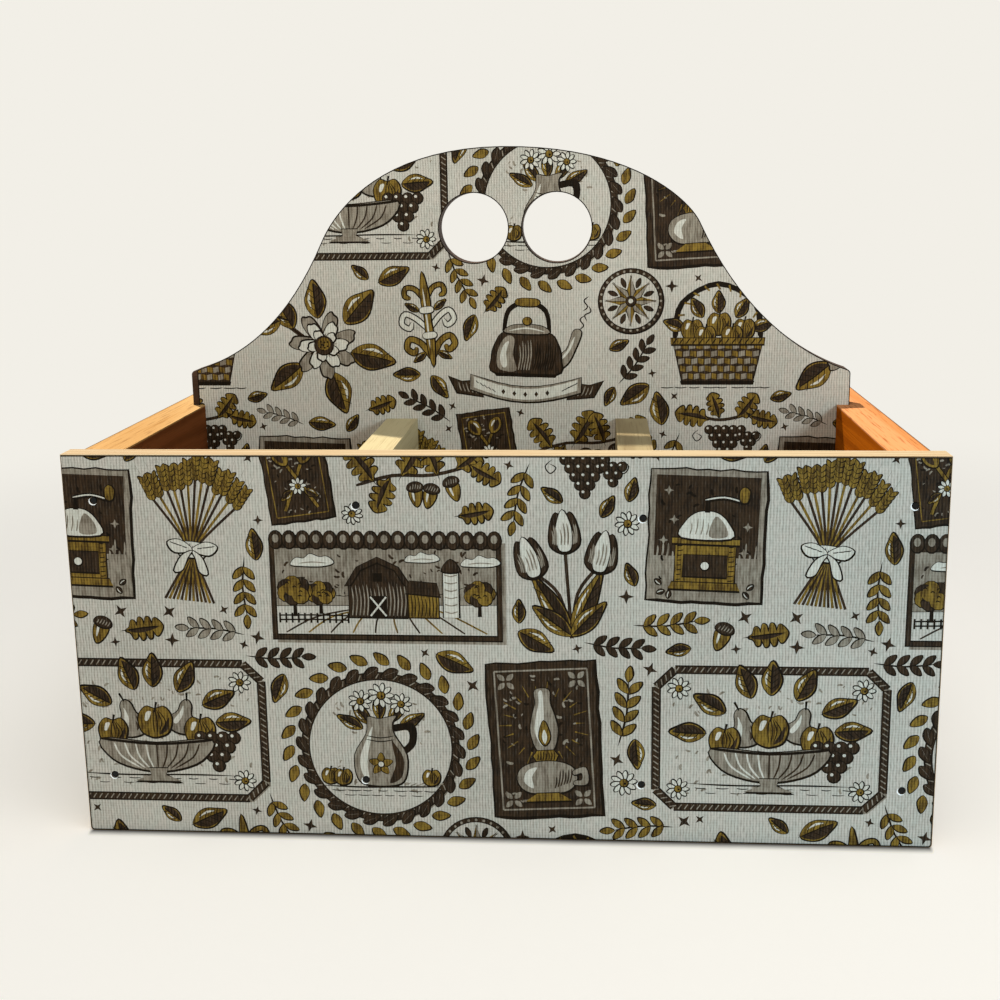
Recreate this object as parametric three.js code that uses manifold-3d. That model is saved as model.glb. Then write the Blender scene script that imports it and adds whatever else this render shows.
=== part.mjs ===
// Six-bay wooden caddy with a sawn carrying board, covered outside in printed woven vinyl.
// Millimetres, +Z up. X runs along the front panel, Y from front to back, and the origin is
// the middle of the underside. The front and the back half are alike.

import * as THREE from 'three';
import { mergeVertices } from 'three/addons/utils/BufferGeometryUtils.js';
import Module from 'manifold-3d';

// Front and back panels: thin plywood, nailed over the ends of the sides
const panelWidth = 330;
const panelHeight = 153.6;
const panelThickness = 9.5;
const panelCornerRadius = 1.6;

// Sides: pine boards standing in from the panels' ends, each with a dado for the carrying board
const sideThickness = 15.9;
const panelOverhang = 5;

// Carrying board: plywood, its ends let into the dados and its crown sawn to an ogee
const boardThickness = 9.5;
const dadoDepth = 5.6;
const crownHeight = 268.6;
const crownX = -4.8;
const crownReach = 58;
const shoulderHeight = 169.1;
const shoulderSlope = 0.33;
const shoulderReach = 15;
const shoulderRadius = 1.6;
const leftTurn = { x: -86.2, z: 228 };
const rightTurn = { x: 82, z: 235 };
const turnSlope = 2.12;
const turnReachUp = 10;
const turnReachDown = 50;

// Finger holes: two bored side by side under the crown
const fingerHoleRadius = 15.4;
const fingerHoleHeight = 233.2;
const fingerHoleSpacing = 37;
const fingerHoleMiddleX = 0.6;
const fingerHoleSides = 48;

// Bays: three in front of the carrying board and three behind it
const bayDepth = 95.5;
const dividerThickness = 14.2;
const dividerX = 52.2;
const dividerDrop = 6.2;

// Floor board: let in between the sides and the panels, flush with the underside
const floorThickness = 9.5;

// Vinyl covering: on the outside of the box and on both faces of the carrying board
const coveringThickness = 0.3;
const coveringInset = 0.3;

// Joints: a glue line between touching faces, a little air round each nail and in each dado
const glueLine = 0.05;
const buttGap = 0.1;
const nailAir = 0.3;

// Nails: panel nails, the small head drawn out of the shank in a cone
const nailLength = 26;
const nailRadius = 0.8;
const nailHeadRadius = 1.25;
const nailHeadThickness = 0.7;
const nailConeLength = 0.7;
const nailPointLength = 2.2;
const nailSides = 12;
const nailHoleRunOut = 1.2;

// Where each panel is nailed, read on the front: one column of two nails for each board behind it
const nailColumns = [
  { name: 'left_side', x: -153.3, low: 24.2, high: 135.9 },
  { name: 'left_divider', x: -53, low: 24, high: 134.5 },
  { name: 'right_divider', x: 54, low: 24, high: 130 },
  { name: 'right_side', x: 152.6, low: 23.5, high: 135.3 },
];
const floorNailPlaces = [-80, 28, 80];
const boardNailHeights = [45, 125];

// Places that follow from the sizes above
const coveringBuild = glueLine + coveringThickness;
const boardFace = boardThickness / 2;
const bayFront = boardFace + coveringBuild + bayDepth;
const panelFace = bayFront + panelThickness;
const sideOuter = panelWidth / 2 - panelOverhang - coveringBuild;
const sideInner = sideOuter - sideThickness;
const boardEnd = sideInner + dadoDepth;
const floorTop = floorThickness + buttGap;
const dividerTop = panelHeight - dividerDrop;

const wasm = await Module();
wasm.setup();

// Materials, a fresh one for each piece

const pine = () => new THREE.MeshStandardMaterial({ color: 0xd9964a, roughness: 0.6, metalness: 0 });
const paleWood = () => new THREE.MeshStandardMaterial({ color: 0xd8bb85, roughness: 0.7, metalness: 0 });
const stainedPly = () => new THREE.MeshStandardMaterial({ color: 0x5a4636, roughness: 0.7, metalness: 0 });
const vinyl = () => new THREE.MeshStandardMaterial({ color: 0xb4b5ae, roughness: 0.75, metalness: 0 });
const steel = () => new THREE.MeshStandardMaterial({ color: 0x3a3632, roughness: 0.5, metalness: 0.8 });

// Solids

const caddy = new THREE.Group();

function addPiece(name, geometry, material) {
  const mesh = new THREE.Mesh(geometry, material);
  mesh.name = name;
  caddy.add(mesh);
  return mesh;
}

// A curve in an outline has this many segments, and vertices nearer than mergeDistance are one vertex
const curveSegments = 20;
const mergeDistance = 1e-4;

function toSolid(geometry) {
  const bare = geometry.clone();
  bare.deleteAttribute('normal');
  bare.deleteAttribute('uv');
  const merged = mergeVertices(bare, mergeDistance);
  return new wasm.Manifold(new wasm.Mesh({
    numProp: 3,
    vertProperties: new Float32Array(merged.attributes.position.array),
    triVerts: new Uint32Array(merged.index.array),
  }));
}

function toGeometry(solid) {
  const mesh = solid.getMesh();
  const geometry = new THREE.BufferGeometry();
  geometry.setAttribute('position', new THREE.BufferAttribute(new Float32Array(mesh.vertProperties), 3));
  geometry.setIndex(new THREE.BufferAttribute(new Uint32Array(mesh.triVerts), 1));
  const faceted = geometry.toNonIndexed();
  faceted.computeVertexNormals();
  return faceted;
}

// Cuts every tool out of a piece
function cutAway(geometry, tools) {
  let solid = toSolid(geometry);
  for (const tool of tools) {
    solid = solid.subtract(toSolid(tool));
  }
  return toGeometry(solid);
}

// An outline drawn in X and Z, made into a board whose front face stands at y = front
function uprightBoard(outline, thickness, front) {
  const settings = { depth: thickness, bevelEnabled: false, curveSegments };
  const geometry = new THREE.ExtrudeGeometry(outline, settings);
  geometry.rotateX(Math.PI / 2);
  geometry.translate(0, front + thickness, 0);
  return geometry;
}

// A block between two opposite corners
function block(low, high) {
  const size = new THREE.Vector3().subVectors(high, low);
  const middle = new THREE.Vector3().addVectors(low, high).multiplyScalar(0.5);
  const geometry = new THREE.BoxGeometry(size.x, size.y, size.z);
  geometry.translate(middle.x, middle.y, middle.z);
  return geometry;
}

// Nails

// A nail hangs from its head along -Y; air swells it all round, and runOut carries it on past the face
function nailProfile(air, runOut) {
  const head = nailHeadRadius + air;
  const shank = nailRadius + air;
  const underHead = -nailHeadThickness - air;
  const points = [
    new THREE.Vector2(0, -nailLength - air),
    new THREE.Vector2(shank, -nailLength + nailPointLength - air),
    new THREE.Vector2(shank, underHead - nailConeLength),
    new THREE.Vector2(head, underHead),
    new THREE.Vector2(head, runOut),
    new THREE.Vector2(0, runOut),
  ];
  return new THREE.LatheGeometry(points, nailSides);
}

const nailGeometry = nailProfile(0, 0);
const hangsDown = new THREE.Vector3(0, -1, 0);

// Returns the hole that the nail needs in whatever it passes through
function driveNail(name, place, direction) {
  const nail = addPiece(name, nailGeometry.clone(), steel());
  nail.position.copy(place);
  nail.quaternion.setFromUnitVectors(hangsDown, direction);
  nail.updateMatrix();
  const hole = nailProfile(nailAir, nailHoleRunOut);
  hole.applyMatrix4(nail.matrix);
  return hole;
}

const intoBack = new THREE.Vector3(0, 1, 0);
const intoFront = new THREE.Vector3(0, -1, 0);
const intoRight = new THREE.Vector3(1, 0, 0);
const intoLeft = new THREE.Vector3(-1, 0, 0);
const headFace = panelFace + coveringBuild;

// Panel nails, kept by the panel they go through and by the board they go into
const panelHoles = { front: [], back: [] };
const boardHoles = {};
for (const column of nailColumns) {
  boardHoles[`front_${column.name}`] = [];
  boardHoles[`back_${column.name}`] = [];
  for (const level of ['low', 'high']) {
    const front = new THREE.Vector3(column.x, -headFace, column[level]);
    const back = new THREE.Vector3(-column.x, headFace, column[level]);
    const frontHole = driveNail(`front_nail_${column.name}_${level}`, front, intoBack);
    const backHole = driveNail(`back_nail_${column.name}_${level}`, back, intoFront);
    panelHoles.front.push(frontHole);
    panelHoles.back.push(backHole);
    boardHoles[`front_${column.name}`].push(frontHole);
    boardHoles[`back_${column.name}`].push(backHole);
  }
}

// Side nails: three into the floor's end, two into the carrying board's end
const sideHoles = { left: [], right: [] };
const floorHoles = [];
const handleHoles = [];
const sideFace = sideOuter + coveringBuild;
for (const [side, sign, direction] of [['left', -1, intoRight], ['right', 1, intoLeft]]) {
  floorNailPlaces.forEach((y, index) => {
    const place = new THREE.Vector3(sign * sideFace, y, floorThickness / 2);
    const hole = driveNail(`${side}_floor_nail_${index + 1}`, place, direction);
    sideHoles[side].push(hole);
    floorHoles.push(hole);
  });
  boardNailHeights.forEach((z, index) => {
    const place = new THREE.Vector3(sign * sideFace, 0, z);
    const hole = driveNail(`${side}_board_nail_${index + 1}`, place, direction);
    sideHoles[side].push(hole);
    handleHoles.push(hole);
  });
}

// Front and back panels

function panelOutline(inset) {
  const half = panelWidth / 2 - inset;
  const low = inset;
  const high = panelHeight - inset;
  const r = panelCornerRadius;
  const outline = new THREE.Shape();
  outline.moveTo(-half + r, low);
  outline.lineTo(half - r, low);
  outline.quadraticCurveTo(half, low, half, low + r);
  outline.lineTo(half, high);
  outline.lineTo(-half, high);
  outline.lineTo(-half, low + r);
  outline.quadraticCurveTo(-half, low, -half + r, low);
  return outline;
}

const panelShape = panelOutline(0);
const panelCoverShape = panelOutline(coveringInset);
const frontPanel = uprightBoard(panelShape, panelThickness, -panelFace);
const backPanel = uprightBoard(panelShape, panelThickness, bayFront);
const frontCover = uprightBoard(panelCoverShape, coveringThickness, -headFace);
const backCover = uprightBoard(panelCoverShape, coveringThickness, panelFace + glueLine);
addPiece('front_panel', cutAway(frontPanel, panelHoles.front), paleWood());
addPiece('back_panel', cutAway(backPanel, panelHoles.back), paleWood());
addPiece('front_covering', cutAway(frontCover, panelHoles.front), vinyl());
addPiece('back_covering', cutAway(backCover, panelHoles.back), vinyl());

// Sides

// Seen from above: a long rectangle with the dado's notch in the middle of its inner edge
function sideOutline(sign) {
  const length = bayFront - buttGap;
  const notch = boardFace + coveringBuild + buttGap;
  const depth = sideInner + dadoDepth + buttGap;
  const corners = [
    [sideOuter, -length], [sideOuter, length], [sideInner, length], [sideInner, notch],
    [depth, notch], [depth, -notch], [sideInner, -notch], [sideInner, -length],
  ];
  return new THREE.Shape(corners.map(([x, y]) => new THREE.Vector2(sign * x, y)));
}

function sideBoard(sign, holes) {
  const geometry = new THREE.ExtrudeGeometry(sideOutline(sign), { depth: panelHeight, bevelEnabled: false });
  return cutAway(geometry, holes);
}

function sideCover(sign, holes) {
  const near = sign * (sideOuter + glueLine);
  const far = sign * sideFace;
  const length = bayFront - buttGap - coveringInset;
  const low = new THREE.Vector3(Math.min(near, far), -length, coveringInset);
  const high = new THREE.Vector3(Math.max(near, far), length, panelHeight - coveringInset);
  return cutAway(block(low, high), holes);
}

const leftHoles = [...sideHoles.left, ...boardHoles.front_left_side, ...boardHoles.back_right_side];
const rightHoles = [...sideHoles.right, ...boardHoles.front_right_side, ...boardHoles.back_left_side];
addPiece('left_side', sideBoard(-1, leftHoles), pine());
addPiece('right_side', sideBoard(1, rightHoles), pine());
addPiece('left_covering', sideCover(-1, sideHoles.left), vinyl());
addPiece('right_covering', sideCover(1, sideHoles.right), vinyl());

// Carrying board

// One flank of the ogee, from the crown down to the shoulder; it leaves the pen at the shoulder's round
function drawFlank(outline, turn, sign, end, high) {
  const run = Math.hypot(1, turnSlope);
  const dx = sign / run;
  const dz = -turnSlope / run;
  const shoulderRun = Math.hypot(1, shoulderSlope);
  const sx = sign / shoulderRun;
  const sz = -shoulderSlope / shoulderRun;
  const endX = sign * (end - shoulderRadius);
  const endZ = high + shoulderSlope * shoulderRadius;
  outline.bezierCurveTo(
    crownX + sign * crownReach, crownHeight,
    turn.x - dx * turnReachUp, turn.z - dz * turnReachUp,
    turn.x, turn.z,
  );
  outline.bezierCurveTo(
    turn.x + dx * turnReachDown, turn.z + dz * turnReachDown,
    endX - sx * shoulderReach, endZ - sz * shoulderReach,
    endX, endZ,
  );
  outline.quadraticCurveTo(sign * end, high, sign * end, high - shoulderRadius);
}

// Each flank is drawn by itself, and the left one is walked back up to close the outline
function boardOutline(end, low, holeRadius) {
  const right = new THREE.Path();
  right.moveTo(crownX, crownHeight);
  drawFlank(right, rightTurn, 1, end, shoulderHeight);
  right.lineTo(end, low);
  const left = new THREE.Path();
  left.moveTo(crownX, crownHeight);
  drawFlank(left, leftTurn, -1, end, shoulderHeight);
  left.lineTo(-end, low);
  const downRight = right.getPoints(curveSegments);
  const upLeft = left.getPoints(curveSegments).reverse();
  const outline = new THREE.Shape([...downRight, ...upLeft.slice(0, -1)]);
  for (const sign of [-1, 1]) {
    const x = fingerHoleMiddleX + sign * fingerHoleSpacing / 2;
    const circle = new THREE.EllipseCurve(x, fingerHoleHeight, holeRadius, holeRadius);
    outline.holes.push(new THREE.Path(circle.getPoints(fingerHoleSides).slice(0, -1)));
  }
  return outline;
}

const boardShape = boardOutline(boardEnd, floorTop, fingerHoleRadius);
const handleBoard = uprightBoard(boardShape, boardThickness, -boardFace);
const handleFrontCover = uprightBoard(boardShape, coveringThickness, -boardFace - coveringBuild);
const handleBackCover = uprightBoard(boardShape, coveringThickness, boardFace + glueLine);
addPiece('handle_board', cutAway(handleBoard, handleHoles), stainedPly());
addPiece('handle_covering_front', handleFrontCover, vinyl());
addPiece('handle_covering_back', handleBackCover, vinyl());

// Floor board

const floorHalfWidth = sideInner - buttGap;
const floorHalfDepth = bayFront - buttGap;
const floorLow = new THREE.Vector3(-floorHalfWidth, -floorHalfDepth, 0);
const floorHigh = new THREE.Vector3(floorHalfWidth, floorHalfDepth, floorThickness);
addPiece('floor_board', cutAway(block(floorLow, floorHigh), floorHoles), paleWood());

// Dividers

// A divider stands on the floor between a panel and the covered face of the carrying board
function divider(x, front, holes) {
  const near = boardFace + coveringBuild + buttGap;
  const far = bayFront - buttGap;
  const low = new THREE.Vector3(x - dividerThickness / 2, front ? -far : near, floorTop);
  const high = new THREE.Vector3(x + dividerThickness / 2, front ? -near : far, dividerTop);
  return cutAway(block(low, high), holes);
}

addPiece('front_left_divider', divider(-dividerX, true, boardHoles.front_left_divider), paleWood());
addPiece('front_right_divider', divider(dividerX, true, boardHoles.front_right_divider), paleWood());
addPiece('back_left_divider', divider(-dividerX, false, boardHoles.back_right_divider), paleWood());
addPiece('back_right_divider', divider(dividerX, false, boardHoles.back_left_divider), paleWood());

export default caddy;
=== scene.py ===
import math
import random

import bmesh
import bpy
import numpy
from mathutils import Matrix, Vector
from mathutils.geometry import delaunay_2d_cdt


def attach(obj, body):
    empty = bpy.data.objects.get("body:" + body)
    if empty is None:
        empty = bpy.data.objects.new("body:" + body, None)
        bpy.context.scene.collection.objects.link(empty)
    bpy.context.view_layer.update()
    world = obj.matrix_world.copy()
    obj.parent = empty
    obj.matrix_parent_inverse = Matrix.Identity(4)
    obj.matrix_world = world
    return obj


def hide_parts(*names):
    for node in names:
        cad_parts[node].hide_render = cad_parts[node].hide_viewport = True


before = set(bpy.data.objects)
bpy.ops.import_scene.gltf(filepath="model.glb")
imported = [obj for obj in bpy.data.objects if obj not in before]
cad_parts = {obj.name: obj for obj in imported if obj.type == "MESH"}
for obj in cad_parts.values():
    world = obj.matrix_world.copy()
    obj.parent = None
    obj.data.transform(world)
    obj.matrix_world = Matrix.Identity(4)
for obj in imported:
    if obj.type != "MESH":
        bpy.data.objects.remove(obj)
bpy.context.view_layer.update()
scene = bpy.context.scene
bpy.ops.object.select_all(action="DESELECT")


# The photograph's view
# A phone camera close in front of the caddy, a little to its right and level with the carrying board's holes,
# turned slightly left and down. Its picture was cropped low and left, so the frame is shifted.

camera_place = Vector((0.0380, -0.53885, 0.2498))
camera_right = Vector((0.99817, 0.05949, -0.01121))
camera_ahead = Vector((-0.06054, 0.98156, -0.18129))
camera_up = Vector((0.00022, 0.18164, 0.98337))
focal_pixels = 1196.2
centre_pixels = (527.15, 410.0)
picture_pixels = 1000
sensor_width = 36

bpy.ops.object.camera_add(location=camera_place)
camera = bpy.context.object
turn = Matrix((camera_right, camera_up, -camera_ahead)).transposed()
camera.rotation_euler = turn.to_euler()
camera.data.sensor_width = sensor_width
camera.data.lens = focal_pixels / picture_pixels * sensor_width
camera.data.shift_x = 0.5 - centre_pixels[0] / picture_pixels
camera.data.shift_y = centre_pixels[1] / picture_pixels - 0.5
camera.data.clip_start = 0.01
scene.camera = camera
scene.view_settings.view_transform = "Standard"


# Floor and light
# A pale paper sweep, turned up far away all round, with a softbox of its own and a thin painted contact
# shadow where caddy stands on it. One high lamp behind the caddy's left shoulder and softboxes in front light
# the wood and the print, and the white room fills the rest.

class Value:
    """One changing number, colour or vector inside a finish; a sum on values adds its own nodes."""

    def __init__(self, finish, socket):
        self.finish = finish
        self.socket = socket

    def math(self, operation, *others):
        inputs = dict(enumerate((self, *others)))
        return self.finish.node("ShaderNodeMath", {"operation": operation}, inputs)

    def __add__(self, other):
        return self.math("ADD", other)

    def __radd__(self, other):
        return self.math("ADD", other)

    def __sub__(self, other):
        return self.math("SUBTRACT", other)

    def __rsub__(self, other):
        return self.finish.node("ShaderNodeMath", {"operation": "SUBTRACT"}, {0: other, 1: self})

    def __mul__(self, other):
        return self.math("MULTIPLY", other)

    def __rmul__(self, other):
        return self.math("MULTIPLY", other)

    def sine(self):
        return self.math("SINE")

    def step(self, low, high):
        """0 below low, 1 above high, smooth between."""
        inputs = {"Value": self, "From Min": low, "From Max": high}
        return self.finish.node("ShaderNodeMapRange", {"interpolation_type": "SMOOTHSTEP"}, inputs)


class Finish:
    """A material under construction, with its one shader."""

    def __init__(self, name, **constants):
        self.material = bpy.data.materials.new(name)
        self.material.use_nodes = True
        self.tree = self.material.node_tree
        self.shader = self.tree.nodes["Principled BSDF"]
        for socket, value in constants.items():
            self.shader.inputs[socket.replace("_", " ")].default_value = value

    def node(self, kind, settings, inputs, output=0):
        node = self.tree.nodes.new(kind)
        for name, value in settings.items():
            setattr(node, name, value)
        for key, value in inputs.items():
            self.feed(node.inputs[key], value)
        return Value(self, node.outputs[output])

    def feed(self, socket, value):
        if isinstance(value, Value):
            self.tree.links.new(value.socket, socket)
        elif socket.type == "RGBA" and len(value) == 3:
            socket.default_value = (*value, 1)
        else:
            socket.default_value = value

    def place(self):
        return self.node("ShaderNodeTexCoord", {}, {}, "Object")

    def split(self, vector):
        return [self.node("ShaderNodeSeparateXYZ", {}, {0: vector}, axis) for axis in range(3)]

    def join(self, x, y, z):
        return self.node("ShaderNodeCombineXYZ", {}, {0: x, 1: y, 2: z})

    def shift(self, vector, offset):
        return self.node("ShaderNodeVectorMath", {"operation": "ADD"}, {0: vector, 1: offset})

    def noise(self, vector, scale, detail):
        inputs = {"Vector": vector, "Scale": scale, "Detail": detail}
        return self.node("ShaderNodeTexNoise", {}, inputs, "Fac")

    def mix(self, amount, first, second):
        inputs = {"Factor": amount, 6: first, 7: second}
        return self.node("ShaderNodeMix", {"data_type": "RGBA"}, inputs, 2)

    def raise_surface(self, height, distance, strength):
        inputs = {"Height": height, "Distance": distance, "Strength": strength}
        normal = self.node("ShaderNodeBump", {}, inputs)
        self.feed(self.shader.inputs["Normal"], normal)

    def paint(self, colour, roughness=None):
        self.feed(self.shader.inputs["Base Color"], colour)
        if roughness is not None:
            self.feed(self.shader.inputs["Roughness"], roughness)
        return self.material


def linear(red, green, blue):
    """A colour read from a picture, 0 to 255, as the shader wants it."""
    parts = (part / 255 for part in (red, green, blue))
    return tuple(part / 12.92 if part <= 0.04045 else ((part + 0.055) / 1.055) ** 2.4 for part in parts)


sweep_radius = 3.0
sweep_rise = 0.3
sweep_bend = 0.9
sweep_sides = 96
sweep_steps = 10
sweep_flare = 0.03
paper_colour = linear(242, 239, 231)
paper_glow_near = 0.31
paper_soak_near = 0.95
paper_near = 0.26
paper_far = 0.8
fibre_size = 900
fibre_strength = 0.02
foot_half = (0.1638, 0.11045)
foot_shadow = (-0.0014, 0.0049)
foot_shadow_squeeze = 2.4
room_colour = linear(246, 246, 250)
room_strength = 0.25
lamp_place = Vector((-0.5, 0.6, 1.2))
lamp_travel = Vector((0.38, -0.485, -1.0))
lamp_strength = 5.2
lamp_colour = (1.0, 0.93, 0.82)
lamp_angle = math.radians(2.4)
window_place = Vector((-0.22, -0.64, 0.86))
window_aim = Vector((0.0, 0.0, 0.16))
window_size = 0.5
window_strength = 3.2
window_colour = (1.0, 0.97, 0.92)
softbox_place = Vector((0.2, -0.42, 1.15))
softbox_size = 1.0
softbox_strength = 8.95
softbox_colour = (1.0, 1.0, 1.0)
board_lamp_place = Vector((0.42, -0.62, 0.36))
board_lamp_size = 0.12
board_lamp_strength = 2.6
board_lamp_colour = (0.76, 0.91, 1.0)
sky_place = Vector((0.42, -0.5, 0.14))
sky_aim = Vector((0.12, -0.11, 0.05))
sky_size = 0.2
sky_strength = 1.1
sky_colour = (0.2, 0.63, 1.0)


def edit_mode(on):
    bpy.ops.object.mode_set(mode="EDIT" if on else "OBJECT")


def sheet_of_paper():
    """A round sheet whose rim is drawn up in a quarter circle and a little outwards."""
    bpy.ops.mesh.primitive_circle_add(vertices=sweep_sides, radius=sweep_radius, fill_type="NGON")
    paper = bpy.context.object
    paper.name = "paper_sweep"
    edit_mode(True)
    bpy.ops.mesh.inset(thickness=sweep_bend)
    bpy.ops.mesh.select_all(action="DESELECT")
    edit_mode(False)
    rim = sweep_radius - 1e-3
    for edge in paper.data.edges:
        edge.select = all(paper.data.vertices[v].co.length > rim for v in edge.vertices)
    edit_mode(True)
    for step in range(sweep_steps):
        before = math.cos(math.radians(90) * step / sweep_steps)
        after = math.cos(math.radians(90) * (step + 1) / sweep_steps)
        rise = sweep_bend * (1 - after) - sweep_bend * (1 - before)
        wider = 1 + sweep_flare * after
        bpy.ops.mesh.extrude_edges_move(TRANSFORM_OT_translate={"value": (0, 0, rise)})
        bpy.ops.transform.resize(value=(wider, wider, 1))
    bpy.ops.mesh.extrude_edges_move(TRANSFORM_OT_translate={"value": (0, 0, sweep_rise)})
    bpy.ops.mesh.select_all(action="SELECT")
    bpy.ops.mesh.normals_make_consistent(inside=True)
    edit_mode(False)
    bpy.ops.object.shade_smooth()
    return paper


def faded(colour, share):
    return tuple(part * share for part in colour)


paper_sweep = sheet_of_paper()
paper = Finish("pale paper", Roughness=1.0, Specular_IOR_Level=0.0, Emission_Strength=1.0)
paper_spot = paper.place()
paper_x, paper_y, _ = paper.split(paper_spot)
away = (paper_x * paper_x + paper_y * paper_y).math("SQRT").step(paper_near, paper_far)
# The paper's colour and glow are darkened in a thin band round the caddy's foot: a painted contact shadow.
beside = (paper_x.math("ABSOLUTE") - foot_half[0]).math("MAXIMUM", 0.0) * foot_shadow_squeeze
before = (paper_y.math("ABSOLUTE") - foot_half[1]).math("MAXIMUM", 0.0)
clear = (beside * beside + before * before).math("SQRT").step(*foot_shadow)
fibre = paper.noise(paper_spot, fibre_size, 3) * fibre_strength
glow = paper.mix(away, faded(paper_colour, paper_glow_near), paper_colour)
bare = paper.mix(away, paper.mix(fibre, faded(paper_colour, paper_soak_near), (1, 1, 1)), (0, 0, 0))
paper.feed(paper.shader.inputs["Emission Color"], paper.mix(clear, (0, 0, 0), glow))
paper_sweep.data.materials.append(paper.paint(paper.mix(clear, (0, 0, 0), bare)))

world = bpy.data.worlds.new("white room")
world.use_nodes = True
room = world.node_tree.nodes["Background"]
room.inputs["Color"].default_value = (*room_colour, 1)
room.inputs["Strength"].default_value = room_strength
scene.world = world

bpy.ops.object.light_add(type="SUN", location=lamp_place)
lamp = bpy.context.object
lamp.name = "high_lamp"
lamp.rotation_euler = lamp_travel.to_track_quat("-Z", "Y").to_euler()
lamp.data.energy = lamp_strength
lamp.data.color = lamp_colour
lamp.data.angle = lamp_angle


def soft_light(name, place, aim, size, strength, colour, lights):
    """A square softbox that lights only the pieces in one collection."""
    bpy.ops.object.light_add(type="AREA", location=place)
    light = bpy.context.object
    light.name = name
    light.rotation_euler = (aim - place).to_track_quat("-Z", "Y").to_euler()
    light.data.size = size
    light.data.energy = strength
    light.data.color = colour
    light.light_linking.receiver_collection = lights


lit = bpy.data.collections.new("wood and print")
lit_paper = bpy.data.collections.new("paper")
lit_board = bpy.data.collections.new("board front and front dividers")
lit_front = bpy.data.collections.new("front panel's face")
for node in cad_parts.values():
    lit.objects.link(node)
lit_paper.objects.link(paper_sweep)
lamp.light_linking.receiver_collection = lit
for softbox in (
    ("soft_window", window_place, window_aim, window_size, window_strength, window_colour, lit),
    ("paper_softbox", softbox_place, Vector(), softbox_size, softbox_strength, softbox_colour, lit_paper),
    ("board_lamp", board_lamp_place, window_aim, board_lamp_size, board_lamp_strength, board_lamp_colour,
     lit_board),
    ("sky_from_the_right", sky_place, sky_aim, sky_size, sky_strength, sky_colour, lit_front),
):
    soft_light(*softbox)


# Wood
# Every board is a slice of a tree: grain lines run along its length and bow a little, with fine dark pores
# between them. The edges that hands and saws have met are eased.

wood_rough = 0.55
seed_step = (0.37, 0.53, 0.71)
line_slant = 0.35
line_bow = 0.04
grain_depth = 0.00012
sawn_fade = (0.0009, 0.0002)
outer_face = 0.15965
glue_fade = (0.0009, 0.0004)
glue_brown = linear(74, 52, 34)
weld_gap = 1e-6
sharp_angle = math.radians(50)


def wood(name, length_axis, face_axis, pale, dark, line_pitch, contrast, seed, gloss=0.08, sawn_top_with_painted_light=None):
    """Grain along length_axis, its lines stacked along face_axis; above a height the top is paler: bare sawn
    wood and painted light.
    """
    finish = Finish(name, Roughness=wood_rough, Specular_IOR_Level=gloss)
    spot = finish.place()
    parts = finish.split(finish.shift(spot, tuple(seed * step for step in seed_step)))
    along = parts["xyz".index(length_axis)]
    across = parts["xyz".index(face_axis)]
    third = parts[3 - "xyz".index(length_axis) - "xyz".index(face_axis)]

    def grain(long, wide, detail):
        """Noise drawn out along the board."""
        return finish.noise(finish.join(along * long, across * wide, third * wide), 1.0, detail)

    bow = grain(1.6, 20, 3)
    line = ((across + third * line_slant + bow * line_bow) * (math.tau / line_pitch)).sine() * 0.5 + 0.5
    late = line.step(0.35, 1.0) * (grain(3, 14, 2).step(0.25, 0.65) * 0.9 + 0.1)
    pores = grain(18, 900, 2).step(0.52, 0.75)
    cloud = grain(5, 26, 2)
    hairs = grain(60, 2600, 1).step(0.6, 0.72)
    shade = late * contrast + pores * (contrast * 0.6) + (cloud - 0.5) * 0.7
    colour = finish.mix(hairs * 0.45, finish.mix(shade, pale, dark), dark)
    # Above the sawn height the top takes paler colours than the faces: partly bare sawn wood, partly painted
    # light for the high lamp on the tops.
    if sawn_top_with_painted_light is not None:
        height, sawn_and_lit_pale, sawn_and_lit_dark = sawn_top_with_painted_light
        x, _, z = finish.split(spot)
        bare = (z + (cloud - 0.5) * 0.0006).step(height - sawn_fade[0], height - sawn_fade[1])
        streak = finish.noise(finish.join(along * 55, across * 60, parts[0] * 1500), 1.0, 2)
        glue = x.math("ABSOLUTE").step(outer_face - glue_fade[0], outer_face - glue_fade[1])
        sawn_top_and_painted_light = finish.mix(streak.step(0.56, 0.7) * 0.55, finish.mix(shade, sawn_and_lit_pale, sawn_and_lit_dark), dark)
        colour = finish.mix(bare, colour, finish.mix(glue * 0.75, sawn_top_and_painted_light, glue_brown))
    finish.raise_surface(1 - pores - late * 0.4, grain_depth, 0.6)
    return finish.paint(colour, cloud * 0.25 + (wood_rough - 0.1))


def ease_edges(node, width):
    """The node's triangles are welded and its sharp edges rounded off, inwards."""
    weld = node.modifiers.new("closed", "WELD")
    weld.merge_threshold = weld_gap
    bevel = node.modifiers.new("eased", "BEVEL")
    bevel.width = width
    bevel.segments = 2
    bevel.limit_method = "ANGLE"
    bevel.angle_limit = sharp_angle


def dress(node_name, material):
    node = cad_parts[node_name]
    node.data.materials.clear()
    node.data.materials.append(material)
    return node


# Sides
# Honey-coloured pine, 5/8 in thick, grain along the box, standing in from the panels' ends with a dado sawn
# across the inner face for the carrying board.

# The sawn tops are paler than the faces: partly bare sawn wood, partly painted light, for the high lamp on
# the tops.
sawn_height = 0.1536
sawn_left_with_painted_light = (sawn_height, linear(208, 172, 120), linear(168, 122, 68))
sawn_right_with_painted_light = (sawn_height, linear(213, 147, 98), linear(180, 116, 60))
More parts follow.
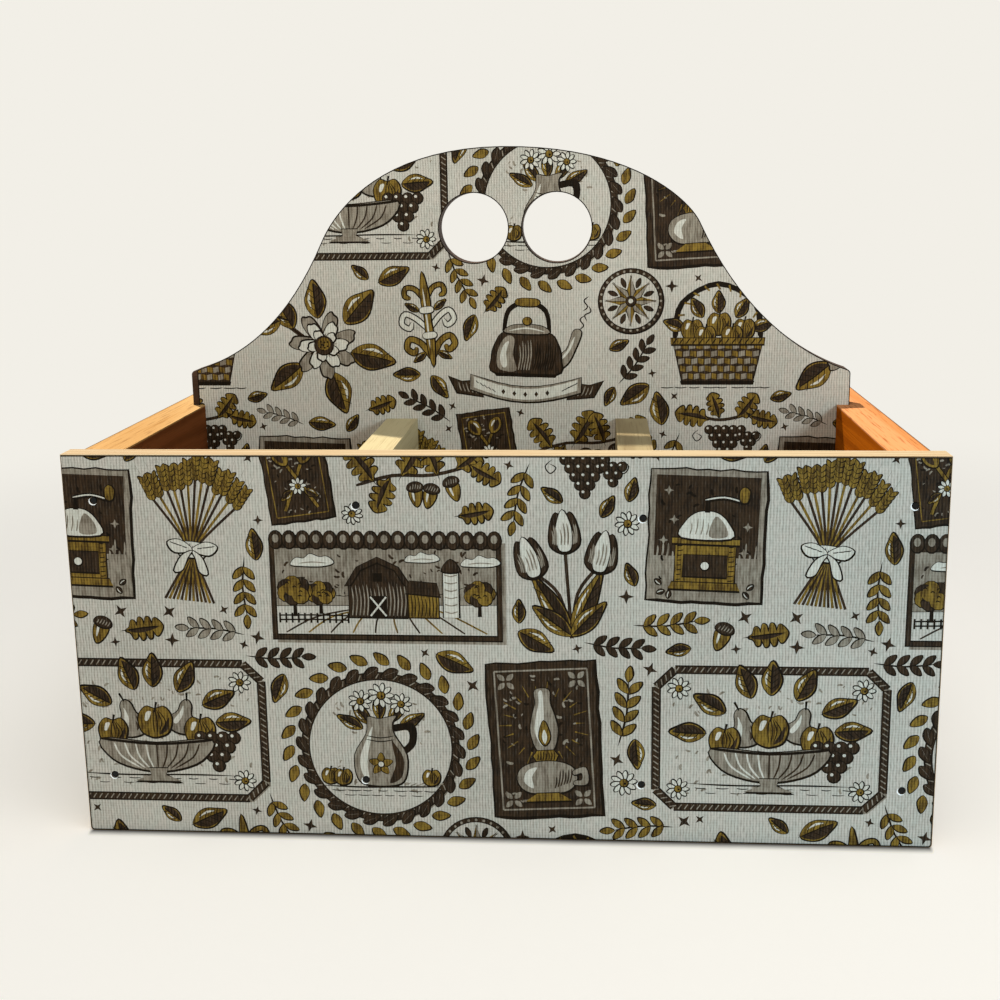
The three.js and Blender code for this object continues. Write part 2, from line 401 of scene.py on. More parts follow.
# The left side's planed faces are darker than the right's: painted shade on the inner face inside the box.
planed_left_with_painted_shade = (linear(140, 86, 50), linear(104, 60, 32))
planed_right = (linear(168, 88, 15), linear(128, 60, 8))
pine_line_pitch = 0.011
pine_contrast = 0.55
side_ease = 0.0009
for name, seed, planed, sawn_top_and_painted_light in (("left_side", 1, planed_left_with_painted_shade, sawn_left_with_painted_light),
                                 ("right_side", 2, planed_right, sawn_right_with_painted_light)):
    pine = wood(f"{name} pine", "y", "z", *planed, pine_line_pitch, pine_contrast, seed, 0.0, sawn_top_and_painted_light)
    ease_edges(dress(name, pine), side_ease)


# Panels and floor
# Three-eighths plywood, nailed over the ends of the sides and dividers. Only its sawn edges and its inner
# faces are bare.

ply_pale = linear(190, 172, 139)
ply_dark = linear(156, 118, 74)
ply_pitch = 0.0031
ply_contrast = 0.6
floor_pale = linear(150, 104, 62)
floor_dark = linear(104, 66, 36)
floor_line_pitch = 0.02
floor_contrast = 0.5
panel_ease = 0.0004
for name, seed in (("front_panel", 3), ("back_panel", 4)):
    ply = wood(f"{name} ply", "x", "y", ply_pale, ply_dark, ply_pitch, ply_contrast, seed)
    ease_edges(dress(name, ply), panel_ease)
floor_ply = wood("floor ply", "x", "y", floor_pale, floor_dark, floor_line_pitch, floor_contrast, 5)
ease_edges(dress("floor_board", floor_ply), panel_ease)


# Dividers
# Four short pale softwood boards, planed, standing on the floor and nailed through the panels.

# The front left divider is paler and the front right one darker than the back pair: painted light on the one
# and painted shade on the other.
divider_colours_with_painted_light_and_shade = {
    "front_left_divider": (linear(190, 176, 136), linear(152, 132, 94)),
    "front_right_divider": (linear(158, 142, 106), linear(120, 100, 68)),
    "back_left_divider": (linear(188, 166, 118), linear(150, 122, 78)),
    "back_right_divider": (linear(188, 166, 118), linear(150, 122, 78)),
}
divider_line_pitch = 0.008
divider_contrast = 0.5
divider_ease = 0.0006
for seed, (name, colours) in enumerate(divider_colours_with_painted_light_and_shade.items(), 6):
    softwood = wood(f"{name} softwood", "y", "z", *colours, divider_line_pitch, divider_contrast, seed)
    divider = dress(name, softwood)
    ease_edges(divider, divider_ease)
    if name.startswith("front"):
        lit_board.objects.link(divider)


# Carrying board
# Three-eighths plywood whose crown and finger holes were bandsawn and bored, then painted dark brown along
# the cut.

board_pale = linear(80, 60, 46)
board_dark = linear(40, 28, 20)
board_ply_pitch = 0.0032
board_ease = 0.0003
board_edge = wood("carrying board edge", "x", "y", board_pale, board_dark, board_ply_pitch, ply_contrast, 11)
ease_edges(dress("handle_board", board_edge), board_ease)


# Nails
# Dark steel panel nails with small heads, driven flush with the covering.

steel_dark = linear(9, 12, 13)
steel_bright = linear(32, 34, 34)
blot_size = 1400
nail_ease = 0.00018
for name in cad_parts:
    if "_nail_" in name:
        steel = Finish(f"{name} steel", Metallic=0.7)
        blot = steel.noise(steel.place(), blot_size, 3)
        finish = steel.paint(steel.mix(blot, steel_dark, steel_bright), blot * 0.3 + 0.45)
        ease_edges(dress(name, finish), nail_ease)


# Printed leaves and flowers
# The covering is vinyl printed with leaves, blossoms, tulips, a sheaf and an oak branch, and more below.
# Each is drawn with pen lines and filled shapes in millimetres, and what is drawn first lies under the
# rest.

nib = 1.35


def curve(points, closed=False, steps=5):
    """Points on a smooth line through the given ones."""
    count = len(points)
    spans = count if closed else count - 1
    found = []
    for k in range(spans):
        if closed:
            a, b, c, d = (points[(k + j - 1) % count] for j in range(4))
        else:
            a, b, c, d = (points[min(max(k + j - 1, 0), count - 1)] for j in range(4))
        for step in range(steps):
            t = step / steps
            found.append(tuple(
                0.5 * (2 * b[i] + (c[i] - a[i]) * t + (2 * a[i] - 5 * b[i] + 4 * c[i] - d[i]) * t * t
                       + (3 * b[i] - a[i] - 3 * c[i] + d[i]) * t ** 3)
                for i in range(2)))
    if not closed:
        found.append(points[-1])
    return found


def sides_of(points):
    """Every point of a closed outline with the next."""
    return list(zip(points, points[1:] + points[:1]))


def turned(points):
    """The same points, anticlockwise."""
    swept = sum(a[0] * b[1] - b[0] * a[1] for a, b in sides_of(points))
    return points if swept > 0 else points[::-1]


def grown(points, width):
    """A closed outline pushed outwards, more on its lower right, as an inked edge is heavier in the shade."""
    points = turned(points)
    width = width * nib
    count = len(points)
    found = []
    for k, (x, y) in enumerate(points):
        before = points[k - 1]
        after = points[(k + 1) % count]
        dx = after[0] - before[0]
        dy = after[1] - before[1]
        run = math.hypot(dx, dy) or 1
        nx = dy / run
        ny = -dx / run
        weight = width * (1 + 0.45 * (0.6 * nx - 0.8 * ny))
        found.append((x + nx * weight, y + ny * weight))
    return found


def plate(ink, points, edge=0.0):
    """A filled shape with straight sides, and an inked edge if asked."""
    shapes = [("line", grown(points, edge))] if edge else []
    return shapes + [(ink, turned(points))]


def area(ink, points, edge=0.0):
    """A filled shape with a smooth outline."""
    return plate(ink, curve(points, True, 4), edge)


def box(ink, left, low, right, high, edge=0.0):
    return plate(ink, [(left, low), (right, low), (right, high), (left, high)], edge)


def both_sides(points):
    """The points and then their mirror images, back to the start."""
    return points + [(-x, y) for x, y in reversed(points) if x]


def sized(points, long, wide=None):
    """An outline drawn for a length of 1, brought to its size."""
    wide = long if wide is None else wide
    return [(x * long, y * wide) for x, y in points]


def pen(points, width, ink="line", start=0.15, end=0.15, steps=4):
    """A brush line, thinner at its ends."""
    path = curve(points, False, steps) if len(points) > 2 else list(points)
    count = len(path)
    left = []
    right = []
    for k, (x, y) in enumerate(path):
        before = path[max(k - 1, 0)]
        after = path[min(k + 1, count - 1)]
        dx = after[0] - before[0]
        dy = after[1] - before[1]
        run = math.hypot(dx, dy) or 1
        t = k / (count - 1)
        swell = min(1.0, start + t * 4, end + (1 - t) * 4)
        half = width * nib * swell / 2
        left.append((x - dy / run * half, y + dx / run * half))
        right.append((x + dy / run * half, y - dx / run * half))
    return [(ink, left + right[::-1])]


def cased(points, wide, narrow, ink, start, end, steps=4):
    """A brush line inked along both its sides."""
    return pen(points, wide, "line", start, end, steps) + pen(points, narrow, ink, start, end, steps)


def disc(ink, x, y, rx, ry=None, edge=0.0, sides=18):
    ry = rx if ry is None else ry
    angles = [math.tau * k / sides for k in range(sides)]
    return plate(ink, [(x + rx * math.cos(a), y + ry * math.sin(a)) for a in angles], edge)


def placed(shapes, x, y, turn=0.0, size=1.0, mirror=False):
    """Shapes moved to a place, turned in degrees, sized and maybe mirrored."""
    c = math.cos(math.radians(turn)) * size
    s = math.sin(math.radians(turn)) * size
    side = -1 if mirror else 1
    return [(ink, [(x + c * px * side - s * py, y + s * px * side + c * py) for px, py in points])
            for ink, points in shapes]


def sown(shapes, spots):
    """The same shapes at each of several places."""
    return [shape for spot in spots for shape in placed(shapes, *spot)]


def strokes(first, last, reach, count, width, ink="line", seed=1, wobble=0.25):
    """Hatching: short lines that start between two points and run by reach."""
    rng = random.Random(seed)
    found = []
    for k in range(count):
        t = k / max(count - 1, 1)
        x = first[0] + (last[0] - first[0]) * t
        y = first[1] + (last[1] - first[1]) * t
        long = 1 + rng.uniform(-wobble, wobble)
        tip = (x + reach[0] * long, y + reach[1] * long)
        bend = (x + reach[0] * long / 2 + reach[1] * 0.05, y + reach[1] * long / 2 - reach[0] * 0.05)
        found += pen([(x, y), bend, tip], width, ink, 0.7, 0.1, 3)
    return found


def rope(points, width, steps=4):
    """A twisted cord along a line."""
    shapes = cased(points, width + 0.7, width, "brown", 1, 1, steps)
    path = curve(points, False, steps) if len(points) > 2 else list(points)
    twist = pen([(-width * 0.45, -width * 0.42), (width * 0.45, width * 0.42)], 0.42, "wash", 0.7, 0.7)
    carried = 0.0
    for (x0, y0), (x1, y1) in zip(path, path[1:]):
        run = math.hypot(x1 - x0, y1 - y0)
        turn = math.degrees(math.atan2(y1 - y0, x1 - x0))
        while carried < run:
            t = carried / run
            shapes += placed(twist, x0 + (x1 - x0) * t, y0 + (y1 - y0) * t, turn + 12)
            carried += width * 1.25
        carried -= run
    return shapes


def flecks(wide, high, count, ink, seed):
    """Short brush marks scattered over an area."""
    rng = random.Random(seed)
    mark = pen([(-0.8, 0), (0, 0.25), (0.9, 0)], 0.5, ink, 0.6, 0.3, 2)
    shapes = []
    for _ in range(count):
        x = rng.uniform(-wide, wide)
        y = rng.uniform(-high, high)
        shapes += placed(mark, x, y, rng.uniform(0, 180), rng.uniform(0.6, 1.5))
    return shapes


def leaf(length, width):
    half = width / 2
    inked = 0.35
    outline = [(0, 0), (0.22, 0.8), (0.5, 1), (0.8, 0.5), (1, 0), (0.78, -0.55), (0.48, -1), (0.2, -0.75)]
    shade = [(0.04, 0.02), (0.5, -0.02), (0.92, -0.02), (0.66, -0.78), (0.3, -0.82)]
    gleam = [(0.24, 0.45), (0.5, 0.72), (0.7, 0.42), (0.46, 0.5)]
    shapes = area("gold", sized(outline, length, half), inked)
    shapes += area("brown", sized(shade, length, half))
    shapes += area("pale", sized(gleam, length, half))
    shapes += pen(sized([(-0.06, 0), (0.5, 0.06), (0.95, 0)], length, half), inked * 1.1)
    for k in range(1, 5):
        x = length * 0.17 * k
        for side in (half, -half):
            vein = [(x, 0), (x + length * 0.1, side * 0.42), (x + length * 0.17, side * 0.66)]
            shapes += pen(vein, inked * 0.6)
    return shapes


def oak_leaf(length):
    upper = []
    for k in range(4):
        x = length * (0.12 + 0.2 * k)
        reach = length * (0.2 + 0.1 * math.sin(math.pi * (k + 0.6) / 4))
        upper += [(x, length * 0.08), (x + length * 0.07, reach), (x + length * 0.16, reach * 0.9)]
    outline = [(0, 0)] + upper + [(length, 0)] + [(x, -y) for x, y in reversed(upper)]
    shade = [(length * 0.1, -0.1), (length * 0.85, -0.1), (length * 0.6, -length * 0.09),
             (length * 0.3, -length * 0.1)]
    shapes = area("gold", outline, 0.35) + area("brown", shade)
    shapes += pen([(-length * 0.14, 0), (length * 0.5, 0.2), (length * 0.95, 0)], 0.45)
    for k in range(4):
        x = length * (0.1 + 0.2 * k)
        for side in (1, -1):
            shapes += pen([(x, 0), (x + length * 0.12, side * length * 0.19)], 0.3)
    return shapes


def petal(length, width, ink):
    half = width / 2
    outline = [(0, -0.2), (0.4, -0.85), (0.85, -0.75), (0.94, -0.1), (1, 0.35), (0.8, 0.85), (0.4, 0.8),
               (0, 0.2)]
    shapes = area(ink, sized(outline, length, half), 0.38)
    for k in range(4):
        t = (k + 0.5) / 4 - 0.5
        fold = [(0.06, 0.5), (0.3, 1.1), (0.62 - 0.3 * abs(t), 1.5)]
        shapes += pen(sized(fold, length, t * half), 0.42, "wash" if ink == "pale" else "brown", 1, 0.05, 2)
    return shapes


def blossom(radius):
    shapes = []
    for row, ink in enumerate(("wash", "pale", "pale")):
        reach = radius * (1 - 0.27 * row)
        count = 7 - row
        for k in range(count):
            turn = 360 * (k + 0.5 * (row % 2)) / count + 12 * row
            shapes += placed(petal(reach, reach * 2.5 / count * 1.2, ink), 0, 0, turn)
    shapes += disc("brown", 0, 0, radius * 0.27, edge=0.3)
    shapes += disc("gold", radius * 0.03, radius * 0.04, radius * 0.19)
    for k in range(9):
        a = k * 2.4
        r = radius * 0.055 * math.sqrt(k)
        shapes += disc("line", r * math.cos(a), r * math.sin(a), radius * 0.03, sides=6)
    return shapes


def bud(size):
    cup = [(-0.1, -0.32), (0.45, -0.36), (0.3, 0), (0.5, 0.34), (-0.1, 0.3)]
    shapes = pen(sized([(-1.6, -0.5), (-0.8, -0.1), (0, 0)], size), 0.7)
    shapes += area("pale", sized([(0, -0.3), (0.6, -0.42), (1.15, 0), (0.6, 0.42), (0, 0.3)], size), 0.35)
    shapes += area("gold", sized(cup, size), 0.3)
    return shapes + strokes(*sized([(0.5, -0.18), (0.5, 0.18), (0.42, 0)], size), 3, 0.3, "wash")


def blossom_spray():
    stem = [(-24, 14), (-14, 8), (-6, 2), (0, 0)]
    shapes = pen(stem, 1.3, "brown", 0.8, 0.5) + pen(stem, 0.4, "line")
    for x, y, turn, long, wide in ((-12, 7, 118, 14, 8), (-17, 10, 200, 13, 7), (9, 9, 48, 17, 10),
                                   (11, -3, -12, 18, 10), (3, -11, -72, 17, 10), (-9, -8, 218, 16, 9),
                                   (-2, 11, 96, 15, 8)):
        shapes += placed(leaf(long, wide), x, y, turn)
    return shapes + placed(bud(6), -22, 15, 132) + placed(blossom(13.5), 0, 0, 20)


def daisy(radius, petals=10):
    outline = sized([(0.2, -0.07), (0.7, -0.17), (1, 0), (0.7, 0.17), (0.2, 0.07)], radius)
    shapes = sown(area("pale", outline, 0.28), [(0, 0, 360 * k / petals) for k in range(petals)])
    shapes += disc("gold", 0, 0, radius * 0.3, edge=0.3, sides=12)
    return shapes + disc("line", radius * 0.08, -radius * 0.08, radius * 0.1, sides=8)


def tulips():
    shapes = []
    for x, lean, height in ((0, 0, 26), (-9, -5, 18), (9, 5, 19)):
        shapes += pen([(0, -24), (x * 0.35, -8), (x + lean * 0.3, height - 18)], 0.9, "brown", 1, 1)
    for turn, long in ((118, 26), (62, 26), (138, 17), (42, 17)):
        shapes += placed(leaf(long, 6.5), 0, -23, turn)
    cup = [(-5, 0), (-4.6, 7), (-2.4, 11.5), (0, 8), (2.4, 11.5), (4.6, 7), (5, 0), (0, -3)]
    head = area("brown", cup, 0.4)
    head += area("pale", [(-2.2, -1), (-2.6, 6), (0, 12.5), (2.6, 6), (2.2, -1), (0, -2.4)], 0.35)
    head += strokes((-1.2, 0), (1.2, 0), (0, 7), 3, 0.4, "wash")
    head += strokes((-4, 0.5), (-2.8, 0), (0, 6), 3, 0.35, "wash")
    head += strokes((3, 0), (4.2, 0.5), (0, 6), 3, 0.35, "wash")
    return shapes + sown(head, ((0, 10, 0), (-11.5, 1.5, 14), (11.5, 2, -14)))


def wheat_sheaf():
    rng = random.Random(4)
    grain = area("gold", [(0, 0), (1.5, 0.75), (3.2, 0), (1.5, -0.75)], 0.22)
    ear = sown(grain, [(j * 1.9, 0, turn) for j in range(5) for turn in (30, -30)])
    ear += pen([(9, 0), (14.5, 0.5)], 0.3)
    shapes = []
    for k in range(13):
        t = k / 12 - 0.5
        tip = (t * 31, 12 + 9 * math.cos(t * 2.6) + rng.uniform(-2, 2))
        shapes += pen([(-t * 19, -25), (t * 2.4, -4), tip], 0.75, "gold" if k % 2 else "brown", 1, 1)
        shapes += placed(ear, *tip, 90 - t * 58)
    shapes += area("pale", [(-4.6, -7), (4.6, -7), (4.2, -2), (-4.2, -2)], 0.4)
    shapes += strokes((-3.6, -6.4), (3.6, -6.4), (0.2, 4), 7, 0.3)
    bow = area("pale", [(0, 0), (5, 3.4), (9.5, 2), (6.5, -1.6)], 0.4)
    bow += area("pale", [(0, -0.4), (4, -3), (6.4, -9), (3.4, -8.4), (1.6, -3.4)], 0.4)
    bow += strokes((2, 0.6), (6, 1.6), (2.4, 0.6), 3, 0.3)
    return shapes + sown(bow, ((0, -4.5), (0, -4.5, 0, 1, True)))


def acorn():
    shapes = area("gold", both_sides([(-2.6, 0), (-2.2, -4.6), (0, -7.6)]), 0.35)
    shapes += area("pale", [(-1.6, -0.8), (-1.3, -4), (-0.6, -5), (-0.7, -0.8)])
    shapes += area("brown", [(-3.3, 0.4), (-2.8, 2.6), (0, 3.6), (2.8, 2.6), (3.3, 0.4), (0, -0.8)], 0.35)
    shapes += strokes((-2.2, 0.3), (2.2, 0.3), (0.5, 2), 5, 0.28, "wash")
    shapes += pen([(0, 3.4), (0.4, 6)], 0.7)
    return shapes


def oak_branch():
    shapes = pen([(-28, -4), (-12, 1), (6, 2), (26, 8)], 1.2, "brown", 0.6, 0.3)
    for x, y, turn, long in ((-20, -2, 128, 19), (-8, 1, 62, 20), (8, 2, 112, 17), (16, 5, 40, 17),
                             (-13, 0, -112, 17), (22, 7, -28, 15)):
        shapes += placed(oak_leaf(long), x, y, turn)
    return shapes + sown(acorn(), ((-2, -5, 8), (5, -5.5, -12), (14, -2, 20)))


def sprig(ink="wash"):
    small = area(ink, [(0, 0), (3, 1.4), (6, 0), (3, -1.2)], 0.28)
    shapes = pen([(0, -12), (1.2, 0), (0, 12)], 0.55)
    shapes += sown(small, [(0.6, y, turn) for y in (-8, -3, 2, 7) for turn in (48, 132)])
    return shapes + placed(area(ink, [(0, 0), (2.6, 1.3), (5.4, 0), (2.6, -1.3)], 0.28), 0, 11, 90)


# Printed kitchen and yard
# Fruit, a jug in a wreath, a lamp, a coffee mill, a kettle, a basket, spoons, a barn and a vine, some on
# cards or in frames of their own.

def apple(size):
    outline = [(0, 0.82), (0.6, 0.95), (1, 0.3), (0.8, -0.6), (0.2, -0.92), (-0.3, -0.92), (-0.85, -0.55),
               (-1, 0.3), (-0.55, 0.95)]
    shapes = area("gold", sized(outline, size), 0.38)
    shapes += area("brown", sized([(0.2, -0.8), (0.72, -0.5), (0.88, 0.3), (0.55, -0.2)], size))
    shapes += area("pale", sized([(-0.62, 0.1), (-0.5, 0.6), (-0.2, 0.62), (-0.42, 0.1)], size))
    for k in range(4):
        x = -size * 0.1 + k * size * 0.22
        shapes += pen(sized([(0.4, 0.74), (1.15, 0), (0.6, -0.74)], x, size), 0.26)
    return shapes + pen(sized([(0, 0.6), (0.14, 1.25)], size), 0.6, "line", 0.6, 1)


def pear(size):
    outline = [(0, 1.5), (0.35, 1.2), (0.5, 0.5), (0.95, -0.2), (0.6, -0.95), (-0.5, -0.95), (-0.95, -0.2),
               (-0.45, 0.5), (-0.33, 1.2)]
    shapes = area("wash", sized(outline, size), 0.38)
    gleam = [(-0.6, -0.3), (-0.28, 0.5), (-0.16, 1), (-0.05, 0.3), (-0.3, -0.4)]
    shapes += area("pale", sized(gleam, size))
    shapes += strokes(*sized([(0.25, -0.7), (0.62, -0.4), (0.12, 0.8)], size), 5, 0.3, "brown")
    return shapes + pen(sized([(0, 1.4), (-0.15, 2)], size), 0.6, "line", 0.6, 1)


def grapes(rows=4, size=1.9):
    shapes = []
    for row in range(rows):
        for k in range(rows - row):
            x = (k - (rows - row - 1) / 2) * size * 1.9
            y = -row * size * 1.7
            shapes += disc("brown", x, y, size, edge=0.3, sides=12)
            shapes += disc("pale", x - size * 0.3, y + size * 0.3, size * 0.3, sides=6)
    return shapes


def fruit_panel():
    frame_line = [(-36, -28), (36, -28), (43, -21), (43, 21), (36, 28), (-36, 28), (-43, 21), (-43, -21)]
    shapes = plate("wash", [(x + 1.6, y - 1.6) for x, y in frame_line])
    shapes += plate("ground", frame_line, 0.3)
    shapes += flecks(38, 23, 80, "wash", 31)
    for side in sides_of(frame_line):
        shapes += rope(side, 1.9)
    shapes += sown(daisy(4.2, 9), [(x, y) for x in (-34.5, 34.5) for y in (-20.5, 20.5)])
    shapes += pen([(-31, -18.2), (-12, -18.8), (12, -18.4), (31, -18.6)], 0.5)
    shapes += strokes((-28, -20), (28, -20), (5, 0), 8, 0.3, seed=3)
    shapes += strokes((-24, -22), (24, -22), (4, 0), 6, 0.25, seed=5)
    bowl_work = sown(leaf(11, 6), ((-14, 8, 150), (-6, 13, 110), (8, 12.5, 62), (16, 8, 24), (0, 14, 88),
                                   (-20, 1, 178), (20, 2, 4)))
    bowl_work += placed(pear(5), -8, 2, 14)
    bowl_work += placed(pear(4.6), 9, 3, -16)
    bowl_work += placed(apple(5.4), 0, 2)
    bowl_work += placed(apple(4.6), -14, -1.5)
    bowl_work += placed(apple(4.8), 14.5, -1)
    bowl_work += placed(grapes(), 20, -3)
    bowl = both_sides([(-18, -4), (-14.5, -11), (-5, -14.5)])
    bowl_work += area("wash", bowl + [(0, -5.2)], 0.42)
    for k in range(9):
        x = -14 + k * 3.5
        rib = [(x, -5.4), (x * 0.84, -10), (x * 0.4, -14)]
        bowl_work += pen(rib, 0.42, "brown" if k > 3 else "pale", 0.5, 0.3)
    bowl_work += plate("wash", both_sides([(-3, -14), (-2.4, -16.4), (-8, -18.4)]), 0.4)
    bowl_work += pen([(-18.6, -4), (0, -5.6), (18.6, -4)], 0.7, "line", 0.6, 0.6)
    shapes += placed(bowl_work, 0, 1.2, 0, 1.22)
    return shapes


def jug():
    body = [(-5, 12), (-5.6, 7), (-10.5, -2), (-9.6, -12), (-5, -15), (5, -15), (9.6, -12), (10.5, -2),
            (5.6, 7), (5, 12), (6.5, 15), (0, 13.6), (-4.6, 14.4)]
    shapes = area("line", [(5, 11), (14, 11.5), (14.5, 3), (9.5, -2), (8.6, 0.4), (11.6, 4), (11.2, 8.8),
                           (5.4, 8.2)])
    shapes += area("wash", body, 0.45)
    shapes += area("pale", [(-8.4, -3), (-7.6, -10.5), (-5, -13), (-5.6, -5), (-4, 4), (-3, 10), (-4.2, 8)])
    shapes += area("brown", [(4, 9), (4.6, 5), (9.2, -3), (8.4, -11.4), (3.4, -14), (6, -6), (5, 1)])
    for y in (6.4, 4.8):
        shapes += pen([(-6, y), (0, y - 1), (6, y)], 0.35)
    star = area("gold", [(0, 0.6), (1.4, 2.4), (0, 5), (-1.4, 2.4)], 0.25)
    shapes += sown(star, [(0, -6, 72 * k) for k in range(5)])
    shapes += disc("pale", 0, -6, 1.1, edge=0.25, sides=10)
    return shapes


def wreath_medallion():
    shapes = disc("wash", 1.2, -1.2, 30.6, sides=48) + disc("ground", 0, 0, 30, edge=0.3, sides=48)
    shapes += flecks(19, 19, 60, "wash", 33)
    ring = [(30 * math.cos(math.tau * k / 40), 30 * math.sin(math.tau * k / 40)) for k in range(41)]
    shapes += rope(ring, 1.9, 2)
    count = 26
    for k in range(count):
        for side, reach in ((1, 35), (-1, 33.2)):
            a = math.tau * (k + (0.5 if side < 0 else 0)) / count
            small = area("gold" if side > 0 else "brown", [(0, 0), (3, 2), (7.2, 0.2), (3, -1.8)], 0.3)
            small += pen([(0.4, 0), (5.6, 0.1)], 0.3, "line" if side > 0 else "wash")
            turn = math.degrees(a) + 90 - side * 34
            shapes += placed(small, reach * math.cos(a), reach * math.sin(a), turn)
    shapes += pen([(-24, -16.5), (-8, -17), (10, -16.6), (24, -16.4)], 0.55)
    shapes += strokes((-20, -18.4), (17, -18.4), (5, 0), 7, 0.3, seed=2)
    shapes += strokes((-15, -20.4), (12, -20.4), (4.4, 0), 6, 0.26, seed=6)
    shapes += strokes((9, -16), (22, -16), (3, 1.4), 6, 0.35, "wash", seed=7)
    shapes += sown(leaf(11, 4.6), ((-4, 10, 128), (4, 11, 58), (0, 12, 92), (-7, 8, 152), (8, 9, 30)))
    for x, y, size in ((-7.5, 19.5, 4.4), (0.8, 22, 5), (8.6, 18.5, 4.2)):
        shapes += placed(daisy(size, 9), x, y)
    shapes += placed(jug(), 0, -1.2, 0, 0.98)
    return shapes + sown(apple(3.4), ((-20.5, -12.4), (-15.4, -12.8), (20, -12.6)))


def card(wide, high, seed, ink="brown"):
    """A dark card with a ragged edge."""
    rng = random.Random(seed)
    edge = []
    for (x0, y0), (x1, y1) in sides_of([(-wide, -high), (wide, -high), (wide, high), (-wide, high)]):
        for k in range(10):
            x = x0 + (x1 - x0) * (k / 10) + rng.uniform(-0.4, 0.4)
            edge.append((x, y0 + (y1 - y0) * (k / 10) + rng.uniform(-0.4, 0.4)))
    return plate(ink, edge, 0.7)


def lamp_card():
    shapes = card(19, 29, 8)
    inner = [(-16.4, -26.4), (16.4, -26.4), (16.4, 26.4), (-16.4, 26.4)]
    for a, b in sides_of(inner):
        shapes += pen([a, ((a[0] + b[0]) / 2, (a[1] + b[1]) / 2), b], 0.45, "wash", 1, 1, 2)
    shapes += flecks(15, 25, 46, "wash", 21) + flecks(15, 25, 30, "line", 22)
    for k in range(22):
        a = math.tau * k / 22
        ray = [(reach * math.cos(a), 6 + reach * math.sin(a)) for reach in (11.4, 14.6 + 1.6 * (k % 2))]
        shapes += pen(ray, 0.5, "gold", 0.8, 0.2)
    chimney = both_sides([(-2.6, -4), (-4.8, 3), (-4, 9), (-2.6, 14), (-2.4, 19)])
    shapes += area("wash", chimney, 0.4)
    shapes += area("pale", [(-1.2, -2), (-3.3, 3), (-2.6, 9), (-1.4, 14), (-1.3, 18), (0.2, 18), (0.2, 8),
                            (0.6, 0)])
    shapes += area("gold", [(0, -2), (2, 1.5), (0, 7.5), (-2, 1.5)], 0.3)
    shapes += area("pale", [(0, -1.4), (0.9, 1.2), (0, 4), (-0.9, 1.2)])
    shapes += plate("gold", [(-3.4, -8), (3.4, -8), (4.4, -6), (3, -4), (-3, -4), (-4.4, -6)], 0.4)
    shapes += strokes((-3, -7.6), (3, -7.6), (0.2, 3), 7, 0.3)
    shapes += area("wash", both_sides([(-4, -8.4), (-9.5, -11), (-10.4, -16), (-6, -20)]), 0.45)
    shapes += area("pale", [(-7, -11.6), (-8.4, -15.6), (-5, -18.4), (-5.4, -14), (-3.4, -10.4)])
    shapes += strokes((2.6, -18.6), (8, -16.6), (1, 5.6), 6, 0.4, "brown")
    shapes += plate("gold", [(-4, -20.4), (-8.4, -23.4), (8.4, -23.4), (4, -20.4)], 0.4)
    shapes += area("wash", [(9.6, -12), (14, -11), (14.4, -17), (9.8, -17.4), (9.8, -16), (12.4, -15.6),
                            (12.4, -13), (9.8, -13.6)], 0.3)
    petal_mark = area("wash", [(0, 0.6), (1, 2.2), (0, 4), (-1, 2.2)])
    spots = [(x, y, turn) for x in (-12.5, 12.5) for y in (-22.5, 22.5) for turn in (45, -45, 135, 225)]
    return shapes + sown(petal_mark, spots)


def mill_card():
    shapes = card(21, 25, 9, "wash")
    shapes += box("brown", -19, -8, 19, 22.8)
    shapes += strokes((-18, -9), (18, -9), (0.4, 5), 20, 0.5, "wash", seed=12, wobble=0.6)
    shapes += flecks(17, 20, 40, "line", 23)
    shapes += box("gold", -11, -18, 11, -3, 0.5)
    shapes += plate("gold", [(-13.4, -20.6), (13.4, -20.6), (12, -18), (-12, -18)], 0.45)
    shapes += box("gold", -12.4, -3, 12.4, -1, 0.45)
    shapes += box("brown", -8, -15.6, 8, -7.4, 0.4)
    shapes += disc("pale", 0, -11.4, 1.5, edge=0.35, sides=12)
    shapes += strokes((-10.4, -17), (-10.4, -4), (2, 0.3), 8, 0.3, seed=4)
    shapes += strokes((8.6, -17), (8.6, -4), (2, 0.3), 8, 0.3, seed=5)
    shapes += area("pale", both_sides([(-9, -0.6), (-8, 5), (-3.4, 9)]), 0.45)
    shapes += area("wash", [(1, 0), (7.6, 0), (6.8, 4.4), (3, 7.6)])
    shapes += strokes((-6, 0.6), (0, 0.6), (0.6, 5.4), 4, 0.35, "wash")
    shapes += plate("line", [(-1, 9), (1, 9), (0.8, 14), (-0.8, 14)])
    shapes += pen([(-1, 13.6), (6, 14.8), (13, 13.2)], 1.5, "line", 0.8, 0.8)
    shapes += pen([(-1, 13.8), (6, 15), (13, 13.4)], 0.4, "pale", 0.4, 0.4)
    shapes += area("gold", [(12, 13.6), (14.4, 13.6), (15, 17.4), (13.2, 19), (11.6, 17.4)], 0.4)
    bean = area("brown", [(-1.5, 0), (0, 0.95), (1.5, 0), (0, -0.95)], 0.25)
    bean += pen([(-1.2, 0), (0, 0.2), (1.2, 0)], 0.25, "pale")
    shapes += sown(bean, ((-16, -22, 20), (-13, -23, 80), (15.6, -22.4, 130), (17, -19, 40),
                          (-17, -18.4, 140)))
    glint = plate("wash", both_sides([(0, 1.8), (0.5, 0.5), (1.8, 0), (0.5, -0.5), (0, -1.8)]))
    return shapes + sown(glint, ((-14.4, 17), (-12, 6), (15, 4), (-15.6, -2), (14, -6)))


